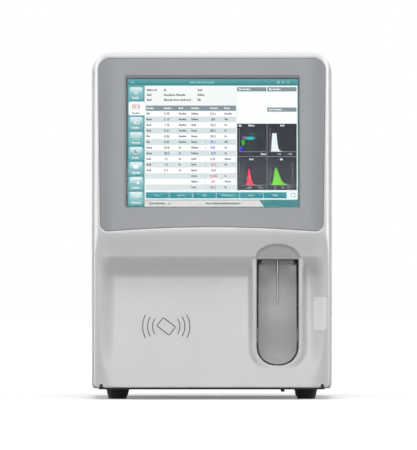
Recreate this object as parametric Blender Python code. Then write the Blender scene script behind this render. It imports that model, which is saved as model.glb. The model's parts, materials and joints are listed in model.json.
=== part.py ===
"""A bench-top hematology analyzer, modelled as the pieces that it comes apart into.

Metres, +Z up. The front faces -Y, and the origin is under the middle of the body, on the bench.
A depth is measured backwards from the foremost edge of the front cover.
"""

import math

import bpy
import bmesh
from mathutils import Matrix, Vector
from mathutils.geometry import tessellate_polygon

MM = 0.001

# Clearance between neighbours, and how far a cutter runs past what it cuts
GAP = 0.3 * MM
OVERRUN = 6 * MM
CORNER_STEPS = 4
ROUND_STEPS = 24
FINE_ROUND_STEPS = 12

# Whole body
BODY_WIDTH = 300 * MM
BODY_DEPTH = 400 * MM
BODY_HEIGHT = 433 * MM
FOOT_HEIGHT = 13 * MM

# Front cover: outline and walls
COVER_INSET = 3.5 * MM
COVER_WIDTH = BODY_WIDTH - 2 * COVER_INSET
COVER_DEPTH = 60 * MM
COVER_WALL = 3 * MM
SCREEN_WALL = 5.6 * MM
COVER_TOP_RADIUS = 21 * MM
COVER_BOTTOM_RADIUS = 6 * MM
RIM_RADIUS = 7 * MM
SIDE_ROLL_REACH = 26.5 * MM
SIDE_ROLL_START = COVER_WIDTH / 2 - SIDE_ROLL_REACH
SIDE_ROLL_RADIUS = 46 * MM

# Front cover: the profile from the screen down to the foot
SCREEN_TILT = math.radians(7)
RIDGE_HEIGHT = 212 * MM
RIDGE_HALF = 5 * MM
SCREEN_FOOT = RIDGE_HEIGHT - RIDGE_HALF
RIDGE_ARCH = 5.5 * MM
RIDGE_ROUNDING = 1.5 * MM
FASCIA_HEIGHT = 31 * MM
FASCIA_LOW = RIDGE_HEIGHT - FASCIA_HEIGHT
FASCIA_DEPTH = 5.2 * MM
TURN_UNDER = 29 * MM
RECESS_HEIGHT = FASCIA_LOW - TURN_UNDER
RECESS_DEPTH = 23 * MM
PANEL_RISE = 9 * MM
PANEL_FOOT = FOOT_HEIGHT + PANEL_RISE
PANEL_FOOT_DEPTH = 8 * MM
RECESS_MARGIN = 3.5 * MM
RECESS_EDGE = COVER_WIDTH / 2 - RECESS_MARGIN
RECESS_FADE = 22 * MM
RECESS_FULL = RECESS_EDGE - RECESS_FADE

# Display stack, square to the tilted screen
SCREEN_CENTRE_X = 0.5 * MM
SCREEN_OPENING_RADIUS = 2 * MM
BEZEL_SIDE_MARGIN = 4.9 * MM
BEZEL_TOP_HALF = COVER_WIDTH / 2 - BEZEL_SIDE_MARGIN
BEZEL_TAPER = 2.6 * MM
BEZEL_FOOT_HALF = BEZEL_TOP_HALF - BEZEL_TAPER
BEZEL_TOP_MARGIN = 7.7 * MM
BEZEL_TOP = BODY_HEIGHT - BEZEL_TOP_MARGIN
BEZEL_FOOT_DROP = 2.2 * MM
BEZEL_FOOT = RIDGE_HEIGHT - BEZEL_FOOT_DROP
BEZEL_ARCH = 5.2 * MM
BEZEL_TOP_RADIUS = 15 * MM
BEZEL_FOOT_RADIUS = 10 * MM
BEZEL_THICKNESS = 2.3 * MM
BEZEL_SET = 0.8 * MM
BORDER_SIDE = 32.35 * MM
BORDER_TOP = 21.2 * MM
BORDER_FOOT = 29.1 * MM
SCREEN_OPENING_WIDTH = 2 * (BEZEL_TOP_HALF - BORDER_SIDE)
SCREEN_OPENING_HEIGHT = BEZEL_TOP - BORDER_TOP - BEZEL_FOOT - BORDER_FOOT
SCREEN_CENTRE_Z = BEZEL_FOOT + BORDER_FOOT + SCREEN_OPENING_HEIGHT / 2
GLASS_MARGIN = 3.7 * MM
GLASS_THICKNESS = 2 * MM
MODULE_MARGIN = 3 * MM
MODULE_THICKNESS = 6 * MM
MODULE_BACK_MARGIN = 16 * MM
MODULE_BACK_THICKNESS = 2 * MM

# Sampling bay: a U-shaped slot with a hooded top
BAY_MARGIN = 68 * MM
BAY_X = BODY_WIDTH / 2 - BAY_MARGIN
BAY_HALF = 26 * MM
BAY_DROP = 6.2 * MM
BAY_TOP = FASCIA_LOW - BAY_DROP
BAY_FOOT = 42.2 * MM
BAY_RADIUS = 23 * MM
COLLAR_RIM = 4 * MM
COLLAR_FRONT = 7 * MM
SLEEVE_BACK = 50 * MM
HOOD_HALF = 27.8 * MM
HOOD_DEPTH = 28 * MM
HOOD_RISE = 18.9 * MM
HOOD_WALL = 3 * MM
HOOD_FRONT = 4 * MM
HOOD_START = 6.2 * MM
PROBE_HOLE = 4 * MM

# Aspirate key: the plate that closes the bay from behind
KEY_CLEARANCE = 2.2 * MM
KEY_THICKNESS = 3.6 * MM
KEY_AXIS_RISE = 11.2 * MM
KEY_AXIS_Z = BAY_TOP + KEY_AXIS_RISE
KEY_AXIS_SET = 4 * MM
KEY_AXIS_DEPTH = SLEEVE_BACK - KEY_AXIS_SET
KEY_HUB = 4 * MM
KEY_HUB_HALF = 20 * MM
KEY_PIN_RADIUS = 1.5 * MM
EAR_THICKNESS = 4 * MM
EAR_HALF_HEIGHT = 8 * MM
KEY_TOP_SET = 8 * MM
KEY_TOP_DEPTH = SLEEVE_BACK - KEY_TOP_SET
KEY_MIDDLE_Z = 110 * MM
KEY_MIDDLE_RUN = 3.5 * MM
KEY_MIDDLE_DEPTH = KEY_TOP_DEPTH - KEY_MIDDLE_RUN
KEY_BEND_Z = 85 * MM
KEY_BEND_RUN = 7 * MM
KEY_BEND_DEPTH = KEY_TOP_DEPTH - KEY_BEND_RUN
KEY_FOOT_DEPTH = 11 * MM

# Key switch
SWITCH_Z = 80 * MM
SWITCH_WIDTH = 20 * MM
SWITCH_HEIGHT = 12 * MM
SWITCH_DEPTH = 9 * MM
PLUNGER_RADIUS = 1.5 * MM
PLUNGER_LENGTH = 8 * MM
STRAP_THICKNESS = 1.5 * MM
STRAP_HEIGHT = 18 * MM
STRAP_REACH = 3.5 * MM

# Probe and its lift
PROBE_DEPTH = 31 * MM
PROBE_RADIUS = 0.8 * MM
PROBE_REACH = 56.8 * MM
PROBE_TIP_Z = BAY_TOP - PROBE_REACH
PROBE_HUB_RADIUS = 2.5 * MM
PROBE_HUB_HEIGHT = 5 * MM
ARM_HALF = 4.5 * MM
ARM_NOSE = 4 * MM
CARRIAGE_HALF = 20.4 * MM
LIFT_PLATE_DEPTH = 72 * MM
LIFT_RISE = 17.2 * MM
LIFT_LOW = BAY_TOP + LIFT_RISE
CARRIAGE_REST = 21 * MM
CARRIAGE_HEIGHT = 24 * MM
CARRIAGE_LOW = LIFT_LOW + CARRIAGE_REST
CARRIAGE_HIGH = CARRIAGE_LOW + CARRIAGE_HEIGHT
ARM_RISE = 6 * MM
ARM_THICKNESS = 12 * MM
ARM_LOW = CARRIAGE_LOW + ARM_RISE
ARM_HIGH = ARM_LOW + ARM_THICKNESS
PROBE_TAIL = 11 * MM
PROBE_TOP_Z = ARM_HIGH + PROBE_TAIL
ROD_SET = 10 * MM
ROD_DEPTH = LIFT_PLATE_DEPTH - ROD_SET
CARRIAGE_HALF_DEPTH = 7 * MM
CARRIAGE_FRONT = ROD_DEPTH - CARRIAGE_HALF_DEPTH
CARRIAGE_BACK = ROD_DEPTH + CARRIAGE_HALF_DEPTH
ROD_RADIUS = 3 * MM
ROD_SPACING = 24 * MM
LIFT_PLATE_THICKNESS = 2 * MM
SHELF_THICKNESS = 3 * MM
SHELF_REACH = 6 * MM
SHELF_FRONT = ROD_DEPTH - SHELF_REACH
BELT_OFFSET = 30 * MM
BELT_X = BAY_X + BELT_OFFSET
LIFT_PLATE_MARGIN = 22 * MM
LIFT_PLATE_RIGHT = BELT_X + LIFT_PLATE_MARGIN
IDLER_RISE = 13 * MM
IDLER_Z = LIFT_LOW + IDLER_RISE
PULLEY_SPACING = 110 * MM
DRIVE_Z = IDLER_Z + PULLEY_SPACING
LIFT_SHELF_RISE = 14 * MM
LIFT_HIGH = DRIVE_Z + LIFT_SHELF_RISE
LIFT_PLATE_RISE = 23 * MM
LIFT_PLATE_TOP = DRIVE_Z + LIFT_PLATE_RISE
PULLEY_RADIUS = 5.6 * MM
PULLEY_FLANGE = 0.9 * MM
PULLEY_LIP = 1.2 * MM
BELT_THICKNESS = 1.4 * MM
BELT_SET = 1.5 * MM
BELT_FRONT = ROD_DEPTH - BELT_SET
BELT_WIDTH = 6 * MM
SHAFT_RADIUS = 2.5 * MM
IDLER_PIN_RADIUS = 2 * MM
MOTOR_SIZE = 42 * MM
MOTOR_LENGTH = 34 * MM
MOTOR_CHAMFER = 5 * MM
MOTOR_BOSS_RADIUS = 11 * MM
MOTOR_BOSS_HEIGHT = 1.7 * MM
RINSE_RISE = 2 * MM
RINSE_HEIGHT = 16 * MM
RINSE_LOW = LIFT_LOW + RINSE_RISE
RINSE_HIGH = RINSE_LOW + RINSE_HEIGHT
RINSE_HALF = 7.5 * MM
RINSE_FRONT = 24 * MM
RINSE_BACK = 39 * MM
RINSE_TONGUE = 4 * MM
RINSE_TONGUE_HALF = 5 * MM

# Housing behind the front cover
SHEET = 1.5 * MM
REAR_REACH = 12 * MM
SHELL_BACK = BODY_DEPTH - REAR_REACH
TOP_RADIUS = 24 * MM
TOP_DROP = 1 * MM
SKIRT_DROP = 28 * MM
TOP_SKIRT = BODY_HEIGHT - SKIRT_DROP
TOP_WALL = 3 * MM
PANEL_FLANGE = 8.5 * MM
TRAY_THICKNESS = 2.7 * MM
TRAY_MARGIN = 1 * MM
REAR_THICKNESS = 2 * MM
FRAME_SET = 4 * MM
FRAME_DEPTH = COVER_DEPTH - FRAME_SET
FRAME_BORDER = 11 * MM
FRAME_MARGIN = 9 * MM
FRAME_HALF = BODY_WIDTH / 2 - FRAME_MARGIN
FRAME_REACH = 12 * MM
FRAME_RETURN = COVER_DEPTH + FRAME_REACH
PARTITION_X = 8 * MM
PARTITION_DROP = 3 * MM
PARTITION_TOP = TOP_SKIRT - PARTITION_DROP

# Feet and drain spout
FOOT_MARGIN = 32 * MM
FOOT_X = BODY_WIDTH / 2 - FOOT_MARGIN
FOOT_FRONT_SET = 25 * MM
FOOT_FRONT_DEPTH = COVER_DEPTH + FOOT_FRONT_SET
FOOT_BACK_SET = 38 * MM
FOOT_BACK_DEPTH = SHELL_BACK - FOOT_BACK_SET
FOOT_TOP_RADIUS = 14.4 * MM
FOOT_BOTTOM_RADIUS = 11 * MM
SPOUT_OFFSET = 6.4 * MM
SPOUT_X = BAY_X + SPOUT_OFFSET
SPOUT_DEPTH = 40 * MM
SPOUT_RADIUS = 2.5 * MM
SPOUT_BORE = 1.2 * MM
SPOUT_FLANGE = 4.5 * MM
SPOUT_FLANGE_THICKNESS = 2 * MM
SPOUT_DROP = 3.7 * MM

# Door hinge and lock
HINGE_SIDE_SET = 4.5 * MM
HINGE_X = BODY_WIDTH / 2 - HINGE_SIDE_SET
HINGE_BACK_SET = 4 * MM
HINGE_DEPTH = SHELL_BACK - HINGE_BACK_SET
HINGE_BARREL = 3.8 * MM
HINGE_PIN = 1.8 * MM
HINGE_PIN_LENGTH = 8 * MM
HINGE_TAB = 6 * MM
DOOR_TAIL = 3.6 * MM
HINGE_CLEARANCE = 3.2 * MM
REAR_LEFT = PANEL_FLANGE + GAP - BODY_WIDTH / 2
REAR_RIGHT = HINGE_X - HINGE_BARREL - HINGE_CLEARANCE
LOCK_DEPTH = 85 * MM
LOCK_Z = 215 * MM
LOCK_RADIUS = 10 * MM
LOCK_SPINDLE = 4 * MM
LOCK_SLOT_WIDTH = 2 * MM
LOCK_SLOT_LENGTH = 14 * MM
LOCK_SLOT_DEPTH = 1 * MM
CAM_SET = 13.5 * MM
CAM_X = BODY_WIDTH / 2 - CAM_SET
CAM_THICKNESS = 2.5 * MM
CAM_LENGTH = 17 * MM
CAM_HALF = 5 * MM

# Rear panel fittings
FAN_SIDE_SET = 75 * MM
FAN_X = FAN_SIDE_SET - BODY_WIDTH / 2
FAN_DROP = 105 * MM
FAN_Z = TOP_SKIRT - FAN_DROP
FAN_SIZE = 80 * MM
FAN_THICKNESS = 25 * MM
FAN_BORE = 38 * MM
FAN_HUB = 15 * MM
FAN_BLADE_TIP = 36.5 * MM
FAN_BLADE_WIDTH = 15 * MM
FAN_BLADE_THICKNESS = 1.5 * MM
FAN_BLADE_PITCH = math.radians(38)
FAN_BLADES = 7
FAN_SPIDER = 4 * MM
FAN_SPIDER_DEPTH = 4 * MM
FAN_AXLE = 2.5 * MM
GRILLE_SLOTS = 9
GRILLE_SLOT_WIDTH = 4 * MM
INLET_SIDE_SET = 50 * MM
INLET_X = INLET_SIDE_SET - BODY_WIDTH / 2
INLET_Z = 52 * MM
INLET_WIDTH = 27 * MM
INLET_HEIGHT = 19.5 * MM
INLET_FLANGE = 4.5 * MM
INLET_FLANGE_THICKNESS = 3 * MM
INLET_BODY = 24 * MM
SOCKET_WIDTH = 23.5 * MM
SOCKET_HEIGHT = 16 * MM
SOCKET_DEPTH = 16 * MM
PRONG_WIDTH = 2 * MM
PRONG_HEIGHT = 4 * MM
PRONG_LENGTH = 10 * MM
PRONG_SPREAD = 7 * MM
PRONG_RISE = 2 * MM
SWITCH_SPACING = 42 * MM
SWITCH_X = INLET_X + SWITCH_SPACING
ROCKER_WIDTH = 13 * MM
ROCKER_HEIGHT = 20 * MM
ROCKER_ANGLE = math.radians(7)
ROCKER_DEPTH = 8 * MM
ROCKER_PIVOT = 2 * MM
SWITCH_WALL = 1.6 * MM
SWITCH_BODY = 16 * MM
PORT_SIDE_SET = 80 * MM
PORT_X = BODY_WIDTH / 2 - PORT_SIDE_SET
PORT_Z = 70 * MM
PORT_SPACING = 28 * MM
PORT_COUNT = 4
PORT_PLATE_WIDTH = 122 * MM
PORT_PLATE_HEIGHT = 34 * MM
PORT_PLATE_THICKNESS = 2 * MM
PORT_PLATE_RADIUS = 1.2 * MM
PORT_BASE_RADIUS = 7 * MM
PORT_BARB_RADIUS = 3.4 * MM
PORT_BORE = 1.6 * MM
PORT_BASE_LENGTH = 3 * MM
DATA_X = PORT_X
DATA_Z = 140 * MM
DATA_WIDTH = 66 * MM
DATA_HEIGHT = 18 * MM
DATA_DEPTH = 20 * MM
LAN_WIDTH = 13 * MM
LAN_HEIGHT = 11 * MM
USB_WIDTH = 13 * MM
USB_HEIGHT = 5.4 * MM
DATA_SOCKET_DEPTH = 12 * MM

# Fluidics on the right of the partition, from the front backwards
BATH_CLEARANCE = 24 * MM
BATH_HALF = 26 * MM
BATH_DEPTH = FRAME_RETURN + BATH_CLEARANCE + BATH_HALF
BATH_SHELF_Z = 116 * MM
RED_BATH_OFFSET = 40 * MM
RED_BATH_X = PARTITION_X + RED_BATH_OFFSET
BATH_SPACING = 48 * MM
WHITE_BATH_X = RED_BATH_X + BATH_SPACING
BATH_RADIUS = 16 * MM
BATH_WALL = 3 * MM
BATH_HEIGHT = 62 * MM
BATH_CONE = 14 * MM
BATH_NIPPLE = 4 * MM
BATH_NIPPLE_DROP = 10 * MM
BATH_SHELF_MARGIN = 3 * MM
BATH_SHELF_RIGHT = WHITE_BATH_X + BATH_RADIUS + BATH_SHELF_MARGIN
PUMP_OFFSET = 2 * MM
PUMP_X = WHITE_BATH_X - PUMP_OFFSET
PUMP_DEPTH = BATH_DEPTH
PUMP_RADIUS = 20 * MM
PUMP_LENGTH = 56 * MM
PUMP_BASE = 4 * MM
PUMP_HEAD_RADIUS = 17 * MM
PUMP_HEAD_LENGTH = 18 * MM
CHAMBER_OFFSET = 72 * MM
CHAMBER_X = PARTITION_X + CHAMBER_OFFSET
CHAMBER_CLEARANCE = 11 * MM
CHAMBER_RADIUS = 32 * MM
CHAMBER_HEIGHT = 105 * MM
CHAMBER_CAP = 10 * MM
CHAMBER_CAP_RADIUS = 35 * MM
CHAMBER_DEPTH = BATH_DEPTH + BATH_HALF + CHAMBER_CLEARANCE + CHAMBER_CAP_RADIUS

# Syringe unit, behind the vacuum chamber
SYRINGE_CLEARANCE = 3 * MM
SYRINGE_HALF = 30 * MM
SYRINGE_DEPTH = CHAMBER_DEPTH + CHAMBER_CAP_RADIUS + SYRINGE_CLEARANCE + SYRINGE_HALF
SCREW_OFFSET = 42 * MM
SCREW_X = PARTITION_X + SCREW_OFFSET
BARREL_OFFSET = 32 * MM
BARREL_X = SCREW_X + BARREL_OFFSET
BARREL_SPACING = 34 * MM
BARREL_RADIUS = 9 * MM
BARREL_BORE = 6.5 * MM
BARREL_HEIGHT = 88 * MM
BARREL_LIP = 12 * MM
BARREL_NECK = 3 * MM
LOWER_SHELF_Z = 66 * MM
SHELF_SPACING = 68 * MM
UPPER_SHELF_Z = LOWER_SHELF_Z + SHELF_SPACING
SYRINGE_SHELF = 4 * MM
BARREL_TOP_MARGIN = 1 * MM
SYRINGE_TOP_Z = UPPER_SHELF_Z + SYRINGE_SHELF + BARREL_HEIGHT + BARREL_RADIUS + BARREL_TOP_MARGIN
PLUNGER_ROD = 2.6 * MM
PLUNGER_REST = 12 * MM
PLUNGER_HEAD_Z = UPPER_SHELF_Z + PLUNGER_REST
PLUNGER_HEAD_HEIGHT = 8 * MM
DRIVE_REST = 18 * MM
DRIVE_PLATE_Z = LOWER_SHELF_Z + DRIVE_REST
DRIVE_PLATE_THICKNESS = 6 * MM
SCREW_RADIUS = 4 * MM

# Valves and optics on the partition
MANIFOLD_CLEARANCE = 4 * MM
MANIFOLD_Z = 178 * MM
MANIFOLD_WIDTH = 84 * MM
MANIFOLD_HEIGHT = 50 * MM
MANIFOLD_THICKNESS = 20 * MM
MANIFOLD_DEPTH = SYRINGE_DEPTH - SYRINGE_HALF - MANIFOLD_CLEARANCE - MANIFOLD_WIDTH / 2
SOLENOID_RADIUS = 8 * MM
SOLENOID_LENGTH = 28 * MM
SOLENOID_COLUMNS = 4
VALVE_DEPTH = BATH_DEPTH
VALVE_Z = 256 * MM
VALVE_RADIUS = 22 * MM
VALVE_LENGTH = 32 * MM
VALVE_AXLE = 4 * MM
ROTOR_THICKNESS = 12 * MM
ROTOR_LEVER = 34 * MM
ROTOR_LEVER_HALF = 5 * MM
OPTICS_SET = 35 * MM
OPTICS_FRONT = VALVE_DEPTH + OPTICS_SET
OPTICS_LENGTH = 150 * MM
OPTICS_RISE = 33 * MM
OPTICS_LOW = SYRINGE_TOP_Z + OPTICS_RISE
OPTICS_HEIGHT = 84 * MM
OPTICS_WIDTH = 70 * MM
OPTICS_RADIUS = 5 * MM
LASER_RADIUS = 13 * MM
LASER_LENGTH = 30 * MM

# Electronics on the left of the partition
BOARD_THICKNESS = 1.6 * MM
BOARD_STANDOFF = 6 * MM
BOARD_STANDOFF_RADIUS = 3 * MM
BOARD_FRONT = 110 * MM
BOARD_BACK_SET = 48 * MM
BOARD_BACK = SHELL_BACK - BOARD_BACK_SET
BOARD_LOW = 150 * MM
BOARD_DROP = 17 * MM
BOARD_HIGH = PARTITION_TOP - BOARD_DROP
BOARD_MARGIN = 8 * MM
CHIP_HEIGHT = 4 * MM
SUPPLY_SIDE_SET = 18 * MM
SUPPLY_LEFT = SUPPLY_SIDE_SET - BODY_WIDTH / 2
SUPPLY_WIDTH = 98 * MM
SUPPLY_RIGHT = SUPPLY_LEFT + SUPPLY_WIDTH
SUPPLY_FRONT = 150 * MM
SUPPLY_BACK_SET = 58 * MM
SUPPLY_BACK = SHELL_BACK - SUPPLY_BACK_SET
SUPPLY_HEIGHT = 48 * MM
READER_X = -57 * MM
READER_Z = 91 * MM
READER_WIDTH = 70 * MM
READER_HEIGHT = 52 * MM
READER_STANDOFF = 4 * MM

# Looks: colour, roughness, metallic
WHITE_PLASTIC = ((0.86, 0.87, 0.88), 0.35, 0.0)
GREY_PLASTIC = ((0.36, 0.37, 0.39), 0.42, 0.0)
KEY_PLASTIC = ((0.45, 0.46, 0.47), 0.3, 0.0)
BLACK_RUBBER = ((0.02, 0.02, 0.022), 0.75, 0.0)
BLACK_PLASTIC = ((0.03, 0.03, 0.033), 0.45, 0.0)
GLASS = ((0.05, 0.12, 0.14), 0.08, 0.0)
PAINTED_STEEL = ((0.80, 0.81, 0.82), 0.5, 0.0)
PLATED_STEEL = ((0.62, 0.63, 0.62), 0.35, 1.0)
BRIGHT_STEEL = ((0.80, 0.80, 0.80), 0.15, 1.0)
ALUMINIUM = ((0.70, 0.71, 0.72), 0.4, 1.0)
GREEN_BOARD = ((0.02, 0.16, 0.07), 0.5, 0.0)
BELT_RUBBER = ((0.03, 0.03, 0.03), 0.8, 0.0)
CLEAR_PLASTIC = ((0.75, 0.80, 0.82), 0.15, 0.0)


# Outlines, as lists of points in a plane

def arc(centre, radius, start, end, steps=CORNER_STEPS):
    """Points on a round stretch about a centre, with the angles in degrees."""
    points = []
    for step in range(steps + 1):
        angle = math.radians(start + (end - start) * step / steps)
        points.append((centre[0] + radius * math.cos(angle), centre[1] + radius * math.sin(angle)))
    return points


def circle(centre, radius, steps=ROUND_STEPS):
    """A closed round outline."""
    return arc(centre, radius, 0, 360, steps)[:-1]


def rectangle(left, right, low, high, radius=0):
    """A rectangle, with round corners where a radius is given."""
    if radius == 0:
        return [(left, low), (right, low), (right, high), (left, high)]
    return (arc((right - radius, low + radius), radius, -90, 0)
            + arc((right - radius, high - radius), radius, 0, 90)
            + arc((left + radius, high - radius), radius, 90, 180)
            + arc((left + radius, low + radius), radius, 180, 270))


def centred(centre, width, height, radius=0):
    """A rectangle about a centre."""
    return rectangle(centre[0] - width / 2, centre[0] + width / 2,
                     centre[1] - height / 2, centre[1] + height / 2, radius)


def bay_outline(growth=0, top=BAY_TOP):
    """The U of the sampling bay, grown outwards by a margin."""
    half = BAY_HALF + growth
    radius = BAY_RADIUS + growth
    foot = BAY_FOOT - growth
    return (arc((BAY_X - half + radius, foot + radius), radius, 180, 270, CORNER_STEPS * 2)
            + arc((BAY_X + half - radius, foot + radius), radius, 270, 360, CORNER_STEPS * 2)
            + [(BAY_X + half, top), (BAY_X - half, top)])


def bezel_outline(growth=0):
    """The screen surround: sides that draw in towards a gently arched foot."""
    top = BEZEL_TOP + growth
    top_half = BEZEL_TOP_HALF + growth
    foot_half = BEZEL_FOOT_HALF + growth
    foot = BEZEL_FOOT - growth
    top_radius = BEZEL_TOP_RADIUS + growth
    foot_radius = BEZEL_FOOT_RADIUS + growth
    arch_half = foot_half - foot_radius
    arch_radius = (arch_half ** 2 + BEZEL_ARCH ** 2) / (2 * BEZEL_ARCH)
    spread = math.degrees(math.asin(arch_half / arch_radius))
    crown = arc((0, foot + BEZEL_ARCH - arch_radius), arch_radius, 90 + spread, 90 - spread, CORNER_STEPS * 2)
    return (crown[1:-1]
            + arc((foot_half - foot_radius, foot + foot_radius), foot_radius, -90, 0)
            + arc((top_half - top_radius, top - top_radius), top_radius, 0, 90)
            + arc((top_radius - top_half, top - top_radius), top_radius, 90, 180)
            + arc((foot_radius - foot_half, foot + foot_radius), foot_radius, 180, 270))


# Meshes: plates, turned pieces, grids, and how they are joined and cut

PLANES = {
    "X": lambda u, v, w: (w, u, v),
    "Y": lambda u, v, w: (u, w, v),
    "Z": lambda u, v, w: (u, v, w),
}


def closed_mesh(points, faces):
    """A mesh from points and faces, with its faces turned outwards."""
    form = bmesh.new()
    corners = [form.verts.new(point) for point in points]
    for face in faces:
        form.faces.new([corners[index] for index in face])
    bmesh.ops.recalc_face_normals(form, faces=form.faces)
    mesh = bpy.data.meshes.new("form")
    form.to_mesh(mesh)
    form.free()
    return mesh


def plate(axis, outline, start, end, holes=()):
    """An outline with its holes, drawn square to an axis and carried along it from start to end."""
    loops = [list(outline)] + [list(hole) for hole in holes]
    place = PLANES[axis]
    flat = [point for loop in loops for point in loop]
    count = len(flat)
    caps = tessellate_polygon([[Vector((u, v, 0)) for u, v in loop] for loop in loops])
    points = [place(u, v, start) for u, v in flat] + [place(u, v, end) for u, v in flat]
    faces = [tuple(cap) for cap in caps] + [tuple(index + count for index in cap) for cap in caps]
    first = 0
    for loop in loops:
        size = len(loop)
        for step in range(size):
            here = first + step
            after = first + (step + 1) % size
            faces.append((here, after, after + count, here + count))
        first += size
    return closed_mesh(points, faces)


def block(left, right, front, back, low, high):
    """A plain block between its six faces."""
    return plate("Z", rectangle(left, right, front, back), low, high)


def rod(axis, centre, radius, start, end, steps=FINE_ROUND_STEPS):
    """A plain round bar."""
    return plate(axis, circle(centre, radius, steps), start, end)


def turned(axis, centre, profile, steps=ROUND_STEPS):
    """A closed profile of (radius, place along the axis), carried round the axis."""
    place = PLANES[axis]
    points = []
    rings = []
    for radius, along in profile:
        if radius == 0:
            rings.append([len(points)] * steps)
            points.append(place(centre[0], centre[1], along))
            continue
        rings.append(list(range(len(points), len(points) + steps)))
        for u, v in circle(centre, radius, steps):
            points.append(place(u, v, along))
    faces = []
    for number, ring in enumerate(rings):
        other = rings[(number + 1) % len(rings)]
        for step in range(steps):
            after = (step + 1) % steps
            corners = []
            for index in (ring[step], ring[after], other[after], other[step]):
                if index not in corners:
                    corners.append(index)
            if len(corners) > 2:
                faces.append(tuple(corners))
    return closed_mesh(points, faces)


def combined(operation, base, *tools):
    """One mesh worked with others: UNION, DIFFERENCE or INTERSECT."""
    subject = bpy.data.objects.new("subject", base)
    bpy.context.collection.objects.link(subject)
    helpers = [subject]
    for tool in tools:
        helper = bpy.data.objects.new("helper", tool)
        bpy.context.collection.objects.link(helper)
        helpers.append(helper)
        modifier = subject.modifiers.new(operation.title(), "BOOLEAN")
        modifier.operation = operation
        modifier.object = helper
    depsgraph = bpy.context.evaluated_depsgraph_get()
    result = bpy.data.meshes.new_from_object(subject.evaluated_get(depsgraph))
    for helper in helpers:
        bpy.data.objects.remove(helper)
    return result


def united(base, *tools):
    return combined("UNION", base, *tools)


def cut(base, *tools):
    return combined("DIFFERENCE", base, *tools)


def finish(name, look):
    """A material of the piece's own."""
    colour, roughness, metallic = look
    material = bpy.data.materials.new(name)
    material.use_nodes = True
    shader = material.node_tree.nodes["Principled BSDF"]
    shader.inputs["Base Color"].default_value = (*colour, 1)
    shader.inputs["Roughness"].default_value = roughness
    shader.inputs["Metallic"].default_value = metallic
    return material


def piece(name, mesh, look, origin, tilt=0):
    """Name a solid as a sub-part, with its origin at a point of the body."""
    turn = Matrix.Rotation(tilt, 4, "X")
    mesh.transform(turn.inverted() @ Matrix.Translation(-Vector(origin)))
    mesh.name = name
    mesh.materials.clear()
    mesh.materials.append(finish(name, look))
    mesh.shade_smooth()
    mesh.set_sharp_from_angle(angle=math.radians(32))
    thing = bpy.data.objects.new(name, mesh)
    bpy.context.collection.objects.link(thing)
    thing.location = origin
    thing.rotation_euler = (tilt, 0, 0)
    return thing


def deep(depth):
    """The Y of a depth behind the foremost edge."""
    return depth - BODY_DEPTH / 2


# The front surface, as a depth over the front view

def smoothstep(low, high, value):
    share = min(max((value - low) / (high - low), 0), 1)
    return share * share * (3 - 2 * share)


def between(low, high, value, low_depth, high_depth):
    """A straight run between two heights and their depths."""
    return low_depth + (high_depth - low_depth) * (value - low) / (high - low)


def profile_depth(z):
    """The middle profile below the screen: fascia, turn-under, recess and lower panel."""
    if z >= FASCIA_LOW:
        share = (RIDGE_HEIGHT - z) / (RIDGE_HEIGHT - FASCIA_LOW)
        return FASCIA_DEPTH * share
    if z >= RECESS_HEIGHT:
        share = (FASCIA_LOW - z) / (FASCIA_LOW - RECESS_HEIGHT)
        rise = RECESS_DEPTH - FASCIA_DEPTH
        return FASCIA_DEPTH + rise * smoothstep(0, 1, share)
    return between(PANEL_FOOT, RECESS_HEIGHT, z, PANEL_FOOT_DEPTH, RECESS_DEPTH)


def side_depth(z):
    """The profile at the sides, where the recess has faded out."""
    return max(between(PANEL_FOOT, RIDGE_HEIGHT, z, PANEL_FOOT_DEPTH, 0), -RIDGE_ROUNDING)


def screen_depth(z):
    """The tilted plane that the screen lies in."""
    return math.tan(SCREEN_TILT) * (z - SCREEN_FOOT)


def roll_depth(x):
    """How far the sides roll back."""
    reach = max(abs(x) - SIDE_ROLL_START, 0)
    return SIDE_ROLL_RADIUS - math.sqrt(SIDE_ROLL_RADIUS ** 2 - reach ** 2)


def raw_depth(x, z):
    """Screen plane and lower profile, blended over the ridge between them."""
    arched = z + RIDGE_ARCH * (x / RECESS_EDGE) ** 2 * smoothstep(FASCIA_LOW, RIDGE_HEIGHT, z)
    fade = smoothstep(RECESS_FULL, RECESS_EDGE, abs(x))
    lower = profile_depth(arched) * (1 - fade) + side_depth(arched) * fade
    upper = screen_depth(z)
    return (upper + lower + math.hypot(upper - lower, RIDGE_ROUNDING)) / 2


def row_heights(low, high):
    """The heights of the front grid: close together over corners, the turn-under and the ridge."""
    top_arc = [high - COVER_TOP_RADIUS * (1 - math.sin(math.radians(angle)))
               for angle in range(0, 91, 15)]
    foot_arc = [low + COVER_BOTTOM_RADIUS * (1 - math.cos(math.radians(angle)))
                for angle in range(0, 91, 30)]
    turn_rows = 12
    turn = [RECESS_HEIGHT + (FASCIA_LOW - RECESS_HEIGHT) * row / turn_rows
            for row in range(turn_rows + 1)]
    ridge_rows = 6
    ridge = [RIDGE_HEIGHT - RIDGE_HALF + RIDGE_HALF * 2 * row / ridge_rows
             for row in range(ridge_rows + 1)]
    middle = (FASCIA_LOW + SCREEN_FOOT) / 2
    return foot_arc + [PANEL_FOOT] + turn + [middle] + ridge + top_arc


def column_places():
    """The places of the grid's columns, as shares of the half width."""
    edge_shares = (1, 0.998, 0.99, 0.977, 0.96, 0.935, 0.91, 0.885, 0.86, 0.83, 0.7, 0.4)
    return [-share for share in edge_shares] + [0] + list(reversed(edge_shares))


FRONT_SET = min(raw_depth(share * COVER_WIDTH / 2, z) + roll_depth(share * COVER_WIDTH / 2)
                for z in row_heights(FOOT_HEIGHT, BODY_HEIGHT) for share in column_places())


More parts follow.
